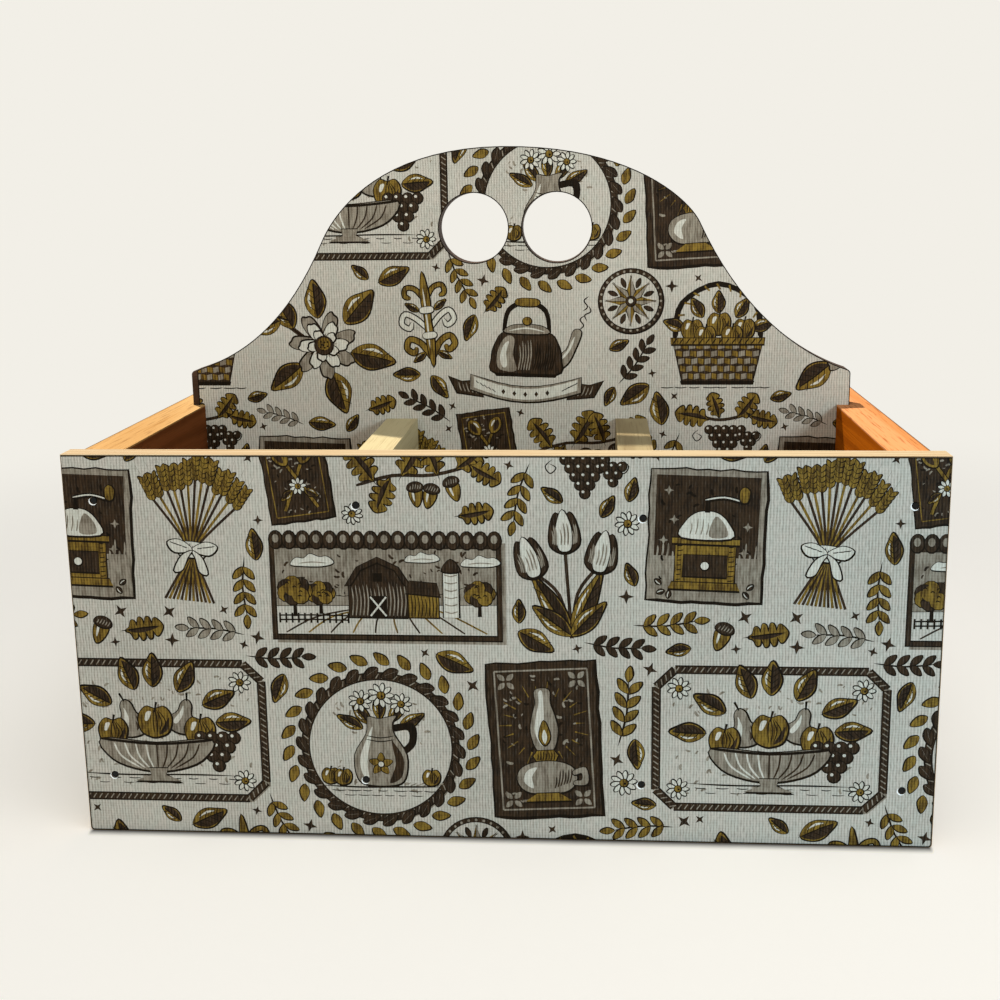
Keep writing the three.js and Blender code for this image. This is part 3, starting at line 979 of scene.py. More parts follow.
def ribbon(long, dip):
    """A blank scroll with folded ends."""
    half = long / 2
    count = 8
    top = []
    low = []
    for k in range(count + 1):
        t = k / count
        x = -half + long * t
        y = -dip * math.sin(math.pi * t)
        top.append((x, y + 3.4))
        low.append((x, y - 3.4))
    shapes = []
    for side in (False, True):
        tail = plate("brown", [(half - 6, -5), (half + 6, -3.4), (half + 10, 4), (half + 4, 1.6),
                               (half - 4, 2.6)], 0.4)
        tail += strokes((half - 3, -3.6), (half + 4, -2.6), (1.4, 4), 5, 0.35, "wash")
        shapes += placed(tail, 0, -1.6, 0, 1, side)
    shapes += plate("wash", top + low[::-1], 0.45)
    inner = [(x * 0.94, y - 0.9) for x, y in top] + [(x * 0.94, y + 0.9) for x, y in low[::-1]]
    shapes += plate("pale", inner)
    shapes += strokes((-half * 0.9, 0.6), (-half * 0.6, -dip * 0.6), (1.6, -1.4), 5, 0.3)
    shapes += strokes((half * 0.66, -dip * 0.6), (half * 0.88, 0), (1.6, 1.2), 5, 0.3)
    mark = plate("brown", [(0, 1.3), (0.9, 0), (0, -1.3), (-0.9, 0)])
    for k in range(5):
        t = 0.3 + 0.1 * k
        shapes += placed(mark, -half + long * t, -dip * math.sin(math.pi * t))
    return shapes


def kettle():
    shapes = placed(ribbon(50, 5), 0, -15)
    shapes += area("line", [(-11, 9), (-9, 19), (0, 23), (9, 19), (11, 9), (9.4, 9), (7.4, 17.4), (0, 20.8),
                            (-7.4, 17.4), (-9.4, 9)])
    shapes += area("gold", [(-4.4, 20.4), (4.4, 20.4), (4.4, 23.2), (-4.4, 23.2)], 0.35)
    spout = [(11, -4), (18, 1), (21, 9.6), (24.4, 9), (22, 1.4), (18.4, -5.6), (12, -9.4)]
    shapes += area("wash", spout, 0.42)
    shapes += pen([(13.6, -5.4), (18.6, 0), (21.6, 7)], 0.8, "pale")
    body = both_sides([(-9, 8.4), (-14, 3), (-15.6, -4), (-13.4, -10.4)])
    shapes += area("brown", body, 0.5)
    shapes += area("wash", [(-11.6, 3), (-13.4, -3.6), (-11.8, -8.8), (-4.4, -9.2), (-6, -2), (-5.4, 5),
                            (-8.4, 6.6)])
    shapes += area("pale", [(-10.4, 2), (-11.8, -3.4), (-10.6, -7.6), (-8.6, -7), (-9, -1), (-8, 4)])
    shapes += strokes((3.4, -8.6), (11.6, -8.6), (1.4, 11), 9, 0.42, "line", seed=2)
    shapes += strokes((-3.4, -8.8), (1.4, -8.8), (0.4, 13), 5, 0.4, "wash", seed=3)
    shapes += area("wash", [(-9.4, 8), (-6, 11.4), (6, 11.4), (9.4, 8)], 0.4)
    shapes += pen([(-8, 8.8), (0, 10.2), (8, 8.8)], 0.5, "pale")
    shapes += disc("gold", 0, 13.4, 1.9, 1.7, edge=0.35, sides=12)
    shapes += plate("line", [(-14.4, -10.4), (14.4, -10.4), (13.4, -12), (-13.4, -12)])
    steam = pen([(0, -3), (1.6, -0.6), (-0.6, 1.6), (1, 4)], 0.45)
    return shapes + sown(steam, ((24, 13, -12), (27.5, 17, -12, 1, True), (25.5, 21.5, -12)))


def basket():
    shapes = area("line", [(-20, 3), (-17, 18), (0, 27), (17, 18), (20, 3), (17.6, 3), (15, 16.6),
                           (0, 24.6), (-15, 16.6), (-17.6, 3)])
    for k in range(11):
        a = math.pi * (k + 0.5) / 11
        band = pen([(-1.5, 0), (1.5, 0)], 0.6, "gold", 1, 1)
        shapes += placed(band, 17.8 * math.cos(a), 3 + 21.6 * math.sin(a), math.degrees(a) + 30)
    shapes += sown(leaf(9.5, 5.4), ((-15, 6, 160), (-7, 11, 120), (8, 11, 60), (15, 6, 18), (0, 13, 90)))
    for x, y, size in ((-11.5, 5.4, 4.6), (0.4, 8, 5), (11.5, 5.6, 4.6), (-5.6, 2.6, 4.4), (6.2, 2.8, 4.4)):
        shapes += placed(apple(size), x, y)
    shapes += plate("brown", [(-20, 0), (20, 0), (15.6, -17.6), (-15.6, -17.6)], 0.5)
    for row in range(5):
        y = -1.9 - row * 3.4
        half = 19.4 - row * 0.92
        w = half / 12 * 0.86
        for k in range(12):
            x = -half + (2 * half) * (k + 0.5) / 12
            lift = 0.25 if (k + row) % 2 else -0.25
            ink = "gold" if (k + row) % 2 else "wash"
            shapes += plate(ink, [(x - w, y - 1.2 + lift), (x + w, y - 1.2 - lift), (x + w, y + 1.2 - lift),
                                  (x - w, y + 1.2 + lift)])
    shapes += plate("gold", [(-21, 1.6), (21, 1.6), (20.6, -1), (-20.6, -1)], 0.45)
    for k in range(14):
        x = -19 + k * 2.9
        shapes += pen([(x - 0.8, -0.8), (x + 0.8, 1.4)], 0.4, "line", 1, 1)
    shapes += plate("line", [(-16.6, -17.6), (16.6, -17.6), (16, -19.4), (-16, -19.4)])
    shapes += strokes((-25, -20.6), (19, -20.6), (6, 0.2), 8, 0.35, seed=9)
    return shapes


def tree(size):
    rng = random.Random(int(size * 10))
    shapes = plate("line", [(-0.8, -size), (0.8, -size), (0.5, 0), (-0.5, 0)])
    for k in range(7):
        a = math.tau * k / 7
        shapes += disc("brown" if k % 2 else "gold", size * 0.42 * math.cos(a),
                       size * 0.3 * math.sin(a) + size * 0.2, size * 0.38, edge=0.25, sides=10)
    shapes += disc("gold", -size * 0.1, size * 0.3, size * 0.36, sides=10)
    for k in range(6):
        x = rng.uniform(-size * 0.4, size * 0.4)
        y = rng.uniform(-size * 0.1, size * 0.6)
        shapes += pen([(x - 0.8, y), (x, y + 0.5), (x + 0.8, y)], 0.35, "line")
    return shapes


def barn_panel():
    wide = 44
    high = 20
    scallops = 17
    shapes = box("wash", -wide + 1.6, -high - 1.6, wide + 1.6, high - 1.6)
    shapes += box("brown", -wide, -high, wide, high, 0.35)
    shapes += box("ground", -42, -18, 42, 16, 0.35)
    shapes += box("wash", -42, -6, 42, 16)
    shapes += placed(flecks(40, 10, 70, "brown", 34), 0, 5)
    for k in range(scallops):
        x = -wide + (k + 0.5) * 2 * wide / scallops
        shapes += disc("brown", x, high - 0.6, wide / scallops * 0.96, 3.4, edge=0.35, sides=14)
        shapes += disc("wash", x, high - 0.2, wide / scallops * 0.5, 1.7, sides=10)
    hills = curve([(-42, -4), (-30, 1), (-16, -3), (2, 2.4), (20, -2), (34, 2), (42, -1)])
    shapes += plate("wash", hills + [(42, -18), (-42, -18)], 0.3)
    shapes += plate("ground", [(-42, -7), (42, -6), (42, -18), (-42, -18)], 0.3)
    for k in range(10):
        x = -38 + k * 8.4
        furrow = [(x * 0.35 + 4, -7.4), (x * 0.7, -11), (x * 1.02, -17.4)]
        shapes += pen(furrow, 0.5, "gold" if k % 2 else "brown", 0.2, 0.8)
    shapes += plate("brown", [(-14, -11), (-14, 2), (-10, 8), (-3, 11), (4, 8), (8, 2), (8, -11)], 0.45)
    shapes += strokes((-13, -10.4), (7, -10.4), (0, 12), 15, 0.35, "wash", seed=3, wobble=0.1)
    shapes += plate("brown", [(-15.6, 1), (-11, 8.6), (-3, 12.6), (5, 8.6), (9.6, 1), (7.4, 1.6),
                              (3.6, 7.6), (-3, 10.6), (-9.6, 7.6), (-13.4, 1.6)], 0.35)
    shapes += plate("line", [(-6.4, -11), (-6.4, -2.6), (0.4, -2.6), (0.4, -11)])
    shapes += pen([(-6, -10.6), (0, -3)], 0.5, "pale", 1, 1)
    shapes += pen([(-6, -3), (0, -10.6)], 0.5, "pale", 1, 1)
    shapes += box("line", -4.8, 3, -1.2, 6.4)
    shapes += plate("gold", [(8.6, -11), (20, -11), (20, -2), (8.6, -1)], 0.4)
    shapes += strokes((9.6, -10.4), (19, -10.4), (0, 8), 8, 0.3, "line", seed=6, wobble=0.1)
    shapes += plate("brown", [(7.6, -1.4), (20.8, -2.6), (19.4, 2.4), (9, 3.4)], 0.35)
    shapes += plate("pale", [(22, -11), (22, 7.4), (27.6, 7.4), (27.6, -11)], 0.4)
    shapes += area("brown", [(21.4, 7.4), (24.8, 12), (28.2, 7.4)], 0.35)
    for k in range(6):
        hoop = [(22.4, -8.6 + k * 2.9), (24.8, -9.2 + k * 2.9), (27.2, -8.6 + k * 2.9)]
        shapes += pen(hoop, 0.35, "wash", 1, 1)
    for size, x, y in ((7, -25, -3), (8.6, -35, -2.4), (7.6, 35.6, -3)):
        shapes += placed(tree(size), x, y)
    for k in range(12):
        x = -41 + k * 2.4
        shapes += pen([(x, -13.6), (x, -9.6)], 0.55, "line", 1, 1)
    for y in (-10.6, -12.4):
        shapes += pen([(-41.4, y), (-28, y + 0.2), (-14.4, y)], 0.45, "line", 1, 1)
    cloud = area("pale", [(-8, -1.4), (-6, 1.2), (-3, 1), (-0.5, 2.8), (3, 1.6), (6, 1.8), (8.4, -0.6),
                          (4, -2), (-4, -2)], 0.3)
    cloud += pen([(-5, -1), (0, -0.4), (6, -0.8)], 0.35, "wash")
    return shapes + sown(cloud, ((-28, 11, 0, 1), (14, 12.4, 0, 0.8), (36, 11, 0, 0.9)))


def star_rosette():
    shapes = disc("brown", 0, 0, 15, edge=0.45, sides=40)
    shapes += disc("ground", 0, 0, 13, edge=0.3, sides=40)
    for k in range(28):
        a = math.tau * k / 28
        shapes += disc("wash", 14 * math.cos(a), 14 * math.sin(a), 0.62, sides=6)
    for k in range(8):
        turn = 45 * k
        shapes += placed(plate("gold", [(0, 0), (4.4, 1.9), (12.2, 0)], 0.3), 0, 0, turn)
        shapes += placed(plate("wash", [(0, 0), (4.4, -1.9), (12.2, 0)], 0.3), 0, 0, turn)
        shapes += placed(area("brown", [(6.6, 0), (9, 1), (11.4, 0), (9, -1)], 0.2), 0, 0, turn + 22.5)
    shapes += disc("brown", 0, 0, 2.2, edge=0.35, sides=14)
    shapes += disc("pale", 0, 0, 1.1, sides=10)
    return shapes


def scroll_ornament():
    low_scroll = [(0, -20), (4, -12), (9.4, -9), (11.4, -13), (8.4, -15.6), (6.6, -13)]
    middle_scroll = [(0, -6), (5, 0), (10.4, 3), (12.4, -1.4), (9, -4), (7.4, -1)]
    high_scroll = [(0, 8), (4, 14), (8.4, 15), (9.4, 11.4), (6.6, 10)]
    half = cased(low_scroll, 2.6, 1.7, "gold", 0.5, 0.4)
    half += cased(middle_scroll, 2.4, 1.5, "pale", 0.5, 0.4)
    half += cased(high_scroll, 2.2, 1.3, "gold", 0.5, 0.4)
    half += sown(leaf(7, 3), ((3, -16, -32), (3.6, 4, 34)))
    shapes = sown(half, ((0, 0), (0, 0, 0, 1, True)))
    spine = both_sides([(0, -23), (1.8, -12), (1.4, 0), (2, 10), (0, 22)])
    shapes += area("gold", spine, 0.45)
    shapes += pen([(-0.6, -14), (-0.4, 0), (-0.5, 14)], 0.6, "pale")
    for y in (-8, 4):
        shapes += area("pale", [(-2.6, y - 1.2), (2.6, y - 1.2), (2.6, y + 1.2), (-2.6, y + 1.2)], 0.35)
    return shapes


def small_star(size):
    reach = [size, size * 0.36] * 4
    corners = [(r * math.sin(math.pi * k / 4), r * math.cos(math.pi * k / 4)) for k, r in enumerate(reach)]
    return plate("brown", corners)


def spoons_card():
    shapes = card(17, 23, 31)
    shapes += flecks(14, 20, 40, "wash", 24) + flecks(14, 20, 26, "line", 25)
    for side in sides_of([(-14.2, -20.2), (14.2, -20.2), (14.2, 20.2), (-14.2, 20.2)]):
        shapes += pen(side, 0.4, "gold", 1, 1)
    spoon = cased([(-9, -17), (-2, -3), (4.6, 9)], 1.9, 1.2, "gold", 0.9, 0.7)
    bowl = area("gold", both_sides([(0, -5.4), (3.2, -2.4), (3.6, 2.4), (0, 6)]), 0.45)
    bowl += area("brown", [(0.4, -3.6), (2.2, -1.6), (2.4, 2), (0.4, 4.2), (-1, 1)])
    bowl += area("pale", [(-2.2, -1.4), (-2.5, 1.8), (-1.2, 3.4), (-1.5, 0)])
    spoon += placed(bowl, 6.6, 12.6, -29)
    shapes += sown(spoon, ((0, 0), (0, 0, 0, 1, True)))
    shapes += placed(daisy(4.6, 9), 0, -4.2)
    return shapes + sown(leaf(8, 4), ((-3.4, -6.4, 215), (3.4, -6.4, -35)))


def grape_vine():
    shapes = pen([(-17, 16), (-6, 13), (4, 14), (16, 18)], 1.2, "brown", 0.7, 0.4)
    for x, y, turn, long in ((-9, 13, 168, 17), (-4, 14, 108, 13), (5, 14, 52, 15), (11, 15, -14, 14)):
        shapes += placed(oak_leaf(long), x, y, turn)
    shapes += placed(grapes(5, 2.1), -1, 8)
    shapes += placed(grapes(3), 10.5, 5)
    tendril = pen([(0, 0), (3, -3), (1, -6), (-1.4, -3.6), (1.6, -1.8)], 0.4)
    return shapes + sown(tendril, ((14, 8), (-14, 8, 0, 1, True)))


# The repeat of the print
# One roll of vinyl is printed over and over with the same drawing, 238 mm across and 216 mm high, every thing
# in its own plot of bare ground.

repeat_wide = 238.0
repeat_high = 216.0
plot_margin = 0.5
plot_sides = 16
smallest_detail = 0.005
least_bend = 0.02
widest_nail_hole = 6
inks = ("ground", "pale", "wash", "gold", "brown", "line", "painted_glint")
printed_things = [
    placed(fruit_panel(), 46.4, 183.1),
    placed(wreath_medallion(), 135.1, 177.5, 0, 0.98),
    placed(lamp_card(), 198.9, 181.7, 3, 1.08),
    placed(sprig("gold"), 228.9, 193.4, -8, 1.15),
    placed(daisy(5), 229.2, 164.6, 10),
    placed(blossom_spray(), 32.7, 115.1, 0, 1.14),
    placed(scroll_ornament(), 80.6, 127.2, 6, 0.96),
    placed(kettle(), 125.0, 112.4, -2),
    placed(star_rosette(), 171.8, 134.5, 0, 0.95),
    placed(basket(), 210.5, 116.1),
    placed(mill_card(), 21.2, 47.3, -2),
    placed(wheat_sheaf(), 66.0, 45.3, -6),
    placed(barn_panel(), 139.2, 25.7),
    placed(tulips(), 207.7, 32.9, 4, 1.08),
    placed(oak_branch(), 153.3, 68.7, -2, 0.85),
    placed(grape_vine(), 215.3, 69.1, 0, 0.9),
    placed(spoons_card(), 106.9, 68.7, 8, 0.7),
    placed(daisy(4.4), 230.2, 52.0, 10),
    placed(sprig(), 72.6, 8.2, 84, 0.95),
    placed(sprig(), 12.9, 81.4, 72, 0.8),
    placed(small_star(3), 189.9, 141.0),
    placed(small_star(3), 229.9, 23.7),
    placed(oak_leaf(15), 37.3, 8.2, 8),
    placed(oak_leaf(13), 52.4, 85.4, 20),
    placed(acorn(), 28.2, 10.3, -20),
]
small_things = [
    (sprig("gold"), (
        (95.5, 146.5, 205), (236.5, 145.5, 95), (191, 63, 165), (85.5, 26, 180), (6.5, 13.5, 275))),
    (sprig("brown"), (
        (80, 85.5, 60, 0.95), (173, 106.5, 325, 0.95), (95.5, 214.5, 270, 0.95), (225.5, 4.5, 265, 0.95))),
    (leaf(15, 8), (
        (158, 0, 335), (180, 96.5, 215), (186, 78.5, 100), (189.5, 9.5, 330), (59, 143.5, 25))),
    (oak_leaf(13), ((167.5, 54.5, 10), (107, 130.5, 50))),
    (leaf(12, 6), (
        (24.5, 79.5, 355), (82, 101, 305), (76.5, 101.5, 180), (233.5, 182.5, 275), (90, 37, 95),
        (98.5, 207, 250), (102, 128.5, 250))),
    (daisy(3.8), ((127.5, 55, 170),)),
    (leaf(9, 4.6), (
        (233, 28, 110), (42, 75.5, 55), (234.5, 90.5, 15), (164.5, 95.5, 245), (189.5, 13, 90),
        (230.5, 60.5, 75), (220.5, 54.5, 60), (54, 145, 140), (162.5, 113, 25), (3.5, 155.5, 175),
        (206, 60, 145), (16, 3.5, 190))),
    (small_star(3), (
        (36, 16, 210), (55, 16, 305), (233.5, 135.5, 105), (171.5, 203.5, 230), (1, 211, 70), (14.5, 149, 50),
        (106, 144, 165), (226.5, 174, 245), (89, 6, 345), (55.5, 4.5, 85))),
    (small_star(2.1), (
        (3, 77.5, 110), (211.5, 3, 15), (89, 76.5, 35), (91, 87, 240), (85, 150, 345), (201.5, 144.5, 140),
        (83.5, 3, 160), (122, 84, 160), (33, 3.5, 185), (181.5, 102, 100), (91.5, 52.5, 270),
        (186.5, 74, 250), (20.5, 150, 225), (76.5, 17, 120), (191.5, 91.5, 135), (153.5, 0.5, 235))),
]
for thing, spots in small_things:
    printed_things += [placed(thing, *spot) for spot in spots]


def plain(points):
    """The outline without the points that hardly bend it."""
    kept = [points[0]]
    for spot, after in zip(points[1:], points[2:] + points[:1]):
        ax = after[0] - kept[-1][0]
        ay = after[1] - kept[-1][1]
        off = abs(ax * (spot[1] - kept[-1][1]) - ay * (spot[0] - kept[-1][0])) / (math.hypot(ax, ay) or 1)
        if off > least_bend:
            kept.append(spot)
    return kept


printed_things = [[(ink, plain(points)) for ink, points in shapes] for shapes in printed_things]


def plot_round(shapes):
    """A many-sided plot of ground that just holds the shapes."""
    turn = math.tau / plot_sides
    reach = []
    for k in range(plot_sides):
        c = math.cos(k * turn)
        s = math.sin(k * turn)
        reach.append(max(x * c + y * s for _, points in shapes for x, y in points) + plot_margin)
    corners = []
    for k in range(plot_sides):
        c = math.cos(k * turn)
        s = math.sin(k * turn)
        along = (reach[(k + 1) % plot_sides] - reach[k] * math.cos(turn)) / math.sin(turn)
        corners.append((c * reach[k] - s * along, s * reach[k] + c * along))
    return corners


def cut_up(loops):
    """The overlapping loops cut into triangles: their corners in two columns, and three corners to each."""
    points = [Vector(point) for loop in loops for point in loop]
    edges = []
    for loop in loops:
        start = len(edges)
        edges += [(start + k, start + (k + 1) % len(loop)) for k in range(len(loop))]
    found = delaunay_2d_cdt(points, edges, [], 0, smallest_detail, False)
    return numpy.array([tuple(point) for point in found[0]]), numpy.array(found[2])


def inside(loop, spots):
    """Which of the spots lie within the loop, by the turns that it makes round them."""
    low = numpy.array(loop)
    high = numpy.roll(low, -1, axis=0)
    x0, y0 = low[:, :1], low[:, 1:]
    x1, y1 = high[:, :1], high[:, 1:]
    x, y = spots[:, 0], spots[:, 1]
    side = (x1 - x0) * (y - y0) - (x - x0) * (y1 - y0)
    up = (y0 <= y) & (y1 > y) & (side > 0)
    down = (y0 > y) & (y1 <= y) & (side < 0)
    return up.sum(axis=0) != down.sum(axis=0)


def on_sheet(spots, outlines, holes):
    """Which of the spots lie in the outlines and out of the holes."""
    found = numpy.ones(len(spots), bool)
    for loop in outlines:
        found &= inside(loop, spots)
    for loop in holes:
        found &= ~inside(loop, spots)
    return found


def edged(colour, spots, within, without):
    """Cut edges are inked dark along the outline and the finger holes; a white crescent beside each nail's
    hole is a painted highlight.
    """
    colour[~on_sheet(spots, within[1:], ())] = inks.index("line")
    for ring in without[1::2]:
        colour[inside(ring, spots)] = inks.index("painted_glint" if is_small(ring) else "line")
    return colour


def is_small(loop):
    """True for a nail's hole, false for a finger hole."""
    x0, _, x1, _ = box_of(loop)
    return x1 - x0 < widest_nail_hole


def printed(plot, shapes, within=(), without=()):
    """A plot's corners, triangles and inks: the last shape printed over a spot shows there."""
    points, faces = cut_up([plot, *within, *without, *[points for _, points in shapes]])
    middles = points[faces].mean(axis=1)
    kept = inside(plot, middles) & on_sheet(middles, within[:1], without[::2])
    faces = faces[kept]
    middles = middles[kept]
    colour = numpy.zeros(len(faces), int)
    for ink, loop in shapes:
        x0, y0, x1, y1 = box_of(loop)
        x, y = middles.T
        near = numpy.nonzero((x > x0) & (x < x1) & (y > y0) & (y < y1))[0]
        colour[near[inside(loop, middles[near])]] = inks.index(ink)
    return points, faces, edged(colour, middles, within, without)


def crosses(plot, a, b):
    """True if the line from a to b passes over the plot."""
    enter = 0.0
    leave = 1.0
    for (x0, y0), (x1, y1) in sides_of(plot):
        nx = y1 - y0
        ny = x0 - x1
        start = (a[0] - x0) * nx + (a[1] - y0) * ny
        end = (b[0] - x0) * nx + (b[1] - y0) * ny
        if start > 0 and end > 0:
            return False
        if start > 0:
            enter = max(enter, start / (start - end))
        elif end > 0:
            leave = min(leave, start / (start - end))
    return enter < leave


def moved(points, x, y):
    return [(px + x, py + y) for px, py in points]


def box_of(points):
    xs = [x for x, _ in points]
    ys = [y for _, y in points]
    return min(xs), min(ys), max(xs), max(ys)


def apart(one, other):
    return one[0] >= other[2] or other[0] >= one[2] or one[1] >= other[3] or other[1] >= one[3]


plots = [plot_round(shapes) for shapes in printed_things]
whole_plots = [printed(plot, shapes) for plot, shapes in zip(plots, printed_things)]


# Printed coverings
# Each sheet is cut from the roll to its board's outline and holes and glued down, pattern upright. Its
# vinyl is embossed like ribbed cloth, and its cut edges are dark from the knife and the glue.

sheet_thick = 0.0003
cut_edge = 0.45
# A white crescent, shifted to the lower left of each nail's hole: a painted highlight on the dimple round the
# nail.
glint_width = 0.06
glint_shift = (-0.3, -0.32)
bare_end = 2.8
weld_reach = 8e-6
straight_sided_points = 8
repeats = range(-2, 3)
metre = 1000
facing = 0.99
rib_pitch = 0.00116
weft_pitch = 0.0011
rib_waver = 0.0009
emboss_depth = 0.00006
worn_colour = linear(150, 142, 128)
green_drift = (0.84, 1.0, 1.0)


def outer_loops(node, outwards, across):
    """The outline of the node's outer face, then its holes, as (across, height) points in millimetres."""
    shell = bmesh.new()
    shell.from_mesh(node.data)
    bmesh.ops.remove_doubles(shell, verts=shell.verts, dist=weld_gap)
    front = dict.fromkeys(face for face in shell.faces if face.normal.dot(outwards) > facing)
    follow = {}
    for face in front:
        for corner in face.loops:
            if not any(other in front for other in corner.edge.link_faces if other != face):
                follow[corner.vert] = corner.link_loop_next.vert
    loops = []
    while follow:
        start = next(iter(follow))
        loop = []
        spot = start
        while spot in follow:
            loop.append((spot.co.dot(across) * metre, spot.co.z * metre))
            spot = follow.pop(spot)
        loops.append(loop)
    place = next(iter(front)).verts[0].co.dot(outwards)
    shell.free()
    loops.sort(key=lambda loop: min(x for x, _ in loop))
    return loops[0], loops[1:], place


def set_off(points, width):
    """A closed outline moved outwards by a width, or inwards by a negative one."""
    points = turned(points)
    found = []
    for k, (x, y) in enumerate(points):
        dx = points[(k + 1) % len(points)][0] - points[k - 1][0]
        dy = points[(k + 1) % len(points)][1] - points[k - 1][1]
        run = math.hypot(dx, dy) or 1
        found.append((x + dy / run * width, y - dx / run * width))
    return found


def print_sheet(outline, holes, slide, lift):
    """The sheet's face in patches of corners, triangles and inks, the repeat slid and lifted."""
    reach = box_of(outline)
    if len(outline) > straight_sided_points:
        inner = set_off(outline, -cut_edge)
    else:
        inner = [(x, min(max(z, reach[1] + cut_edge), reach[3] - cut_edge)) for x, z in outline]
    within = [outline, inner]
    rings = [moved(set_off(hole, glint_width), *glint_shift) if is_small(hole) else set_off(hole, cut_edge)
             for hole in holes]
    without = [loop for pair in zip(holes, rings) for loop in pair]
    edges = [edge for loop in [*within, *without] for edge in sides_of(loop)]
    patches = []
    used = []
    for x in [slide + repeat_wide * k for k in repeats]:
        for y in [lift + repeat_high * k for k in repeats]:
            for plot, shapes, whole in zip(plots, printed_things, whole_plots):
                corners = moved(plot, x, y)
                if apart(box_of(corners), reach):
                    continue
                if any(crosses(corners, a, b) for a, b in edges):
                    near = [(ink, moved(points, x, y)) for ink, points in shapes]
                    near = [(ink, points) for ink, points in near if not apart(box_of(points), reach)]
                    patches.append(printed(corners, near, within, without))
                elif on_sheet(numpy.array(corners[:1]), within[:1], without[::2])[0]:
                    patches.append((whole[0] + numpy.array((x, y)), whole[1], whole[2]))
                else:
                    continue
                used.append(corners)
    points, faces = cut_up([*within, *without, *used])
    middles = points[faces].mean(axis=1)
    faces = faces[on_sheet(middles, within[:1], [*without[::2], *used])]
    colour = numpy.zeros(len(faces), int)
    patches.append((points, faces, edged(colour, points[faces].mean(axis=1), within, without)))
    return patches


def close_up(sheet, outwards):
    """The printed face gets its thickness: its rim is carried back for the cut sides and a back put on."""
    rim = [edge for edge in sheet.edges if edge.is_boundary]
    rim_edges = set(rim)
    made = bmesh.ops.extrude_edge_only(sheet, edges=rim)["geom"]
    behind = [part for part in made if isinstance(part, bmesh.types.BMVert)]
    bmesh.ops.translate(sheet, verts=behind, vec=outwards * -sheet_thick)
    for side in made:
        if isinstance(side, bmesh.types.BMFace):
            side.material_index = inks.index("line")
            if any(edge in rim_edges and not edge.is_contiguous for edge in side.edges):
                side.normal_flip()
    back_rim = [edge for edge in sheet.edges if edge.is_boundary]
    closed = bmesh.ops.triangle_fill(sheet, edges=back_rim, use_beauty=False, normal=-outwards)
    backs = [part for part in closed["geom"] if isinstance(part, bmesh.types.BMFace)]
    for back in backs:
        back.normal_update()
    turned_outwards = sum(back.normal.dot(outwards) for back in backs) > 0
    for back in backs:
        back.material_index = inks.index("ground")
        if turned_outwards:
            back.normal_flip()


def covering(node_name, piece_name, outwards, slide, lift):
    """The printed sheet that stands for a CAD covering, closed all round."""
    outwards = Vector(outwards)
    up = Vector((0, 0, 1))
    across = up.cross(outwards)
    outline, holes, place = outer_loops(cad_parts[node_name], outwards, across)
    if node_name == "handle_covering_front":
        end = min(x for x, _ in outline) + bare_end
        outline = [(max(x, end), z) for x, z in outline]
    corners = []
    triangles = []
    colours = []
    for points, faces, colour in print_sheet(outline, holes, slide, lift):
        triangles += (faces + len(corners)).tolist()
        corners += [across * (x / metre) + up * (z / metre) + outwards * place for x, z in points.tolist()]
        colours += colour.tolist()
    mesh = bpy.data.meshes.new(piece_name)
    mesh.from_pydata(corners, [], triangles)
    mesh.polygons.foreach_set("material_index", colours)
    sheet = bmesh.new()
    sheet.from_mesh(mesh)
    patch_rims = [spot for spot in sheet.verts if spot.is_boundary]
    bmesh.ops.remove_doubles(sheet, verts=patch_rims, dist=weld_reach)
    loose = [spot for spot in sheet.verts if not spot.link_faces]
    bmesh.ops.delete(sheet, geom=loose, context="VERTS")
    close_up(sheet, outwards)
    sheet.to_mesh(mesh)
    sheet.free()
    for ink in inks:
        mesh.materials.append(printed_vinyl[ink])
    piece = bpy.data.objects.new(piece_name, mesh)
    scene.collection.objects.link(piece)
    lit.objects.link(piece)
    if node_name == "handle_covering_front":
        lit_board.objects.link(piece)
    if node_name == "front_covering":
        lit_front.objects.link(piece)
    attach(piece, "root")
    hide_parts(node_name)


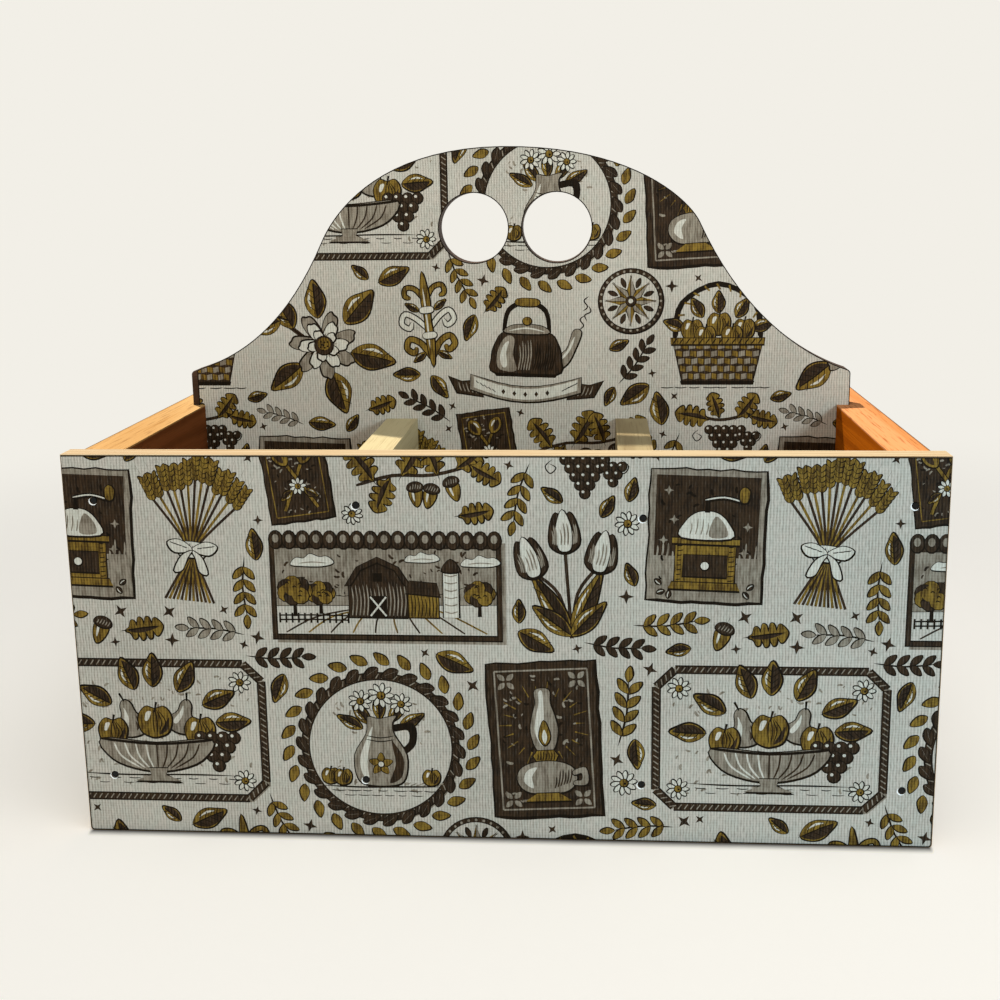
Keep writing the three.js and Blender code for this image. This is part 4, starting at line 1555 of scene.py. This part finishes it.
def vinyl(name, colour, shade_to, mottle, wear):
    """Ribbed vinyl in one ink: upright ribs broken into streaks, a faint weft, the ink brushed and worn."""
    finish = Finish(name, Specular_IOR_Level=0.08)
    x, y, z = finish.split(finish.place())
    around = x + y

    def cloth(wide, high, detail):
        """Noise drawn out up or along the cloth."""
        return finish.noise(finish.join(around * wide, 0.0, z * high), 1.0, detail)

    waver = cloth(120, 90, 2) * rib_waver
    rib = ((around + waver) * (math.tau / rib_pitch)).sine() * 0.5 + 0.5
    weft = ((z + waver) * (math.tau / weft_pitch)).sine() * 0.5 + 0.5
    streak = cloth(2200, 400, 2)
    brush = cloth(520, 150, 3).step(0.4, 0.62)
    cloud = cloth(22, 22, 2)
    weave = (1 - rib) * 0.42 + weft * 0.12 + (streak - 0.5) * 1.15 + (cloud - 0.5) * 0.5
    worn = (rib * streak).step(0.4, 0.72) * wear
    green = cloth(260, 160, 2).step(0.35, 0.65) * 0.3
    greener = tuple(part * drift for part, drift in zip(colour, green_drift))
    inked = finish.mix(weave + brush * mottle, finish.mix(green, colour, greener), shade_to)
    finish.raise_surface(rib * 0.7 + weft * 0.25 + streak * 0.4, emboss_depth, 0.45)
    return finish.paint(finish.mix(worn, inked, worn_colour), 0.55 + rib * 0.12)


printed_vinyl = {
    "ground": vinyl("bare vinyl", linear(194, 187, 174), linear(113, 108, 96), 0.0, 0.0),
    "pale": vinyl("pale ink", linear(208, 204, 190), linear(156, 150, 136), 0.2, 0.0),
    "wash": vinyl("grey brown wash", linear(148, 138, 122), linear(96, 86, 72), 0.5, 0.15),
    "gold": vinyl("olive gold ink", linear(136, 108, 42), linear(62, 44, 12), 0.55, 0.1),
    "brown": vinyl("dark brown ink", linear(58, 42, 26), linear(28, 19, 9), 0.55, 0.14),
    "painted_glint": vinyl("white vinyl with a painted glint", linear(254, 254, 250), linear(225, 225, 220), 0.0, 0.0),
    "line": vinyl("drawing ink", linear(27, 16, 3), linear(13, 8, 1), 0.5, 0.04),
}
for sheet in (
    ("front_covering", "front_printed_sheet", (0, -1, 0), -182.0, -140.0),
    ("back_covering", "back_printed_sheet", (0, 1, 0), -60.0, -44.0),
    ("left_covering", "left_printed_sheet", (-1, 0, 0), -134.0, -108.0),
    ("right_covering", "right_printed_sheet", (1, 0, 0), -208.0, -20.0),
    ("handle_covering_front", "handle_front_printed_sheet", (0, -1, 0), -120.0, 66.0),
    ("handle_covering_back", "handle_back_printed_sheet", (0, 1, 0), -30.0, 20.0),
):
    covering(*sheet)


# Size
# The CAD's box, read before anything was added, and the dressed caddy's box are written side by side, in
# metres.

def corners(box):
    return [list(corner) for corner in box]
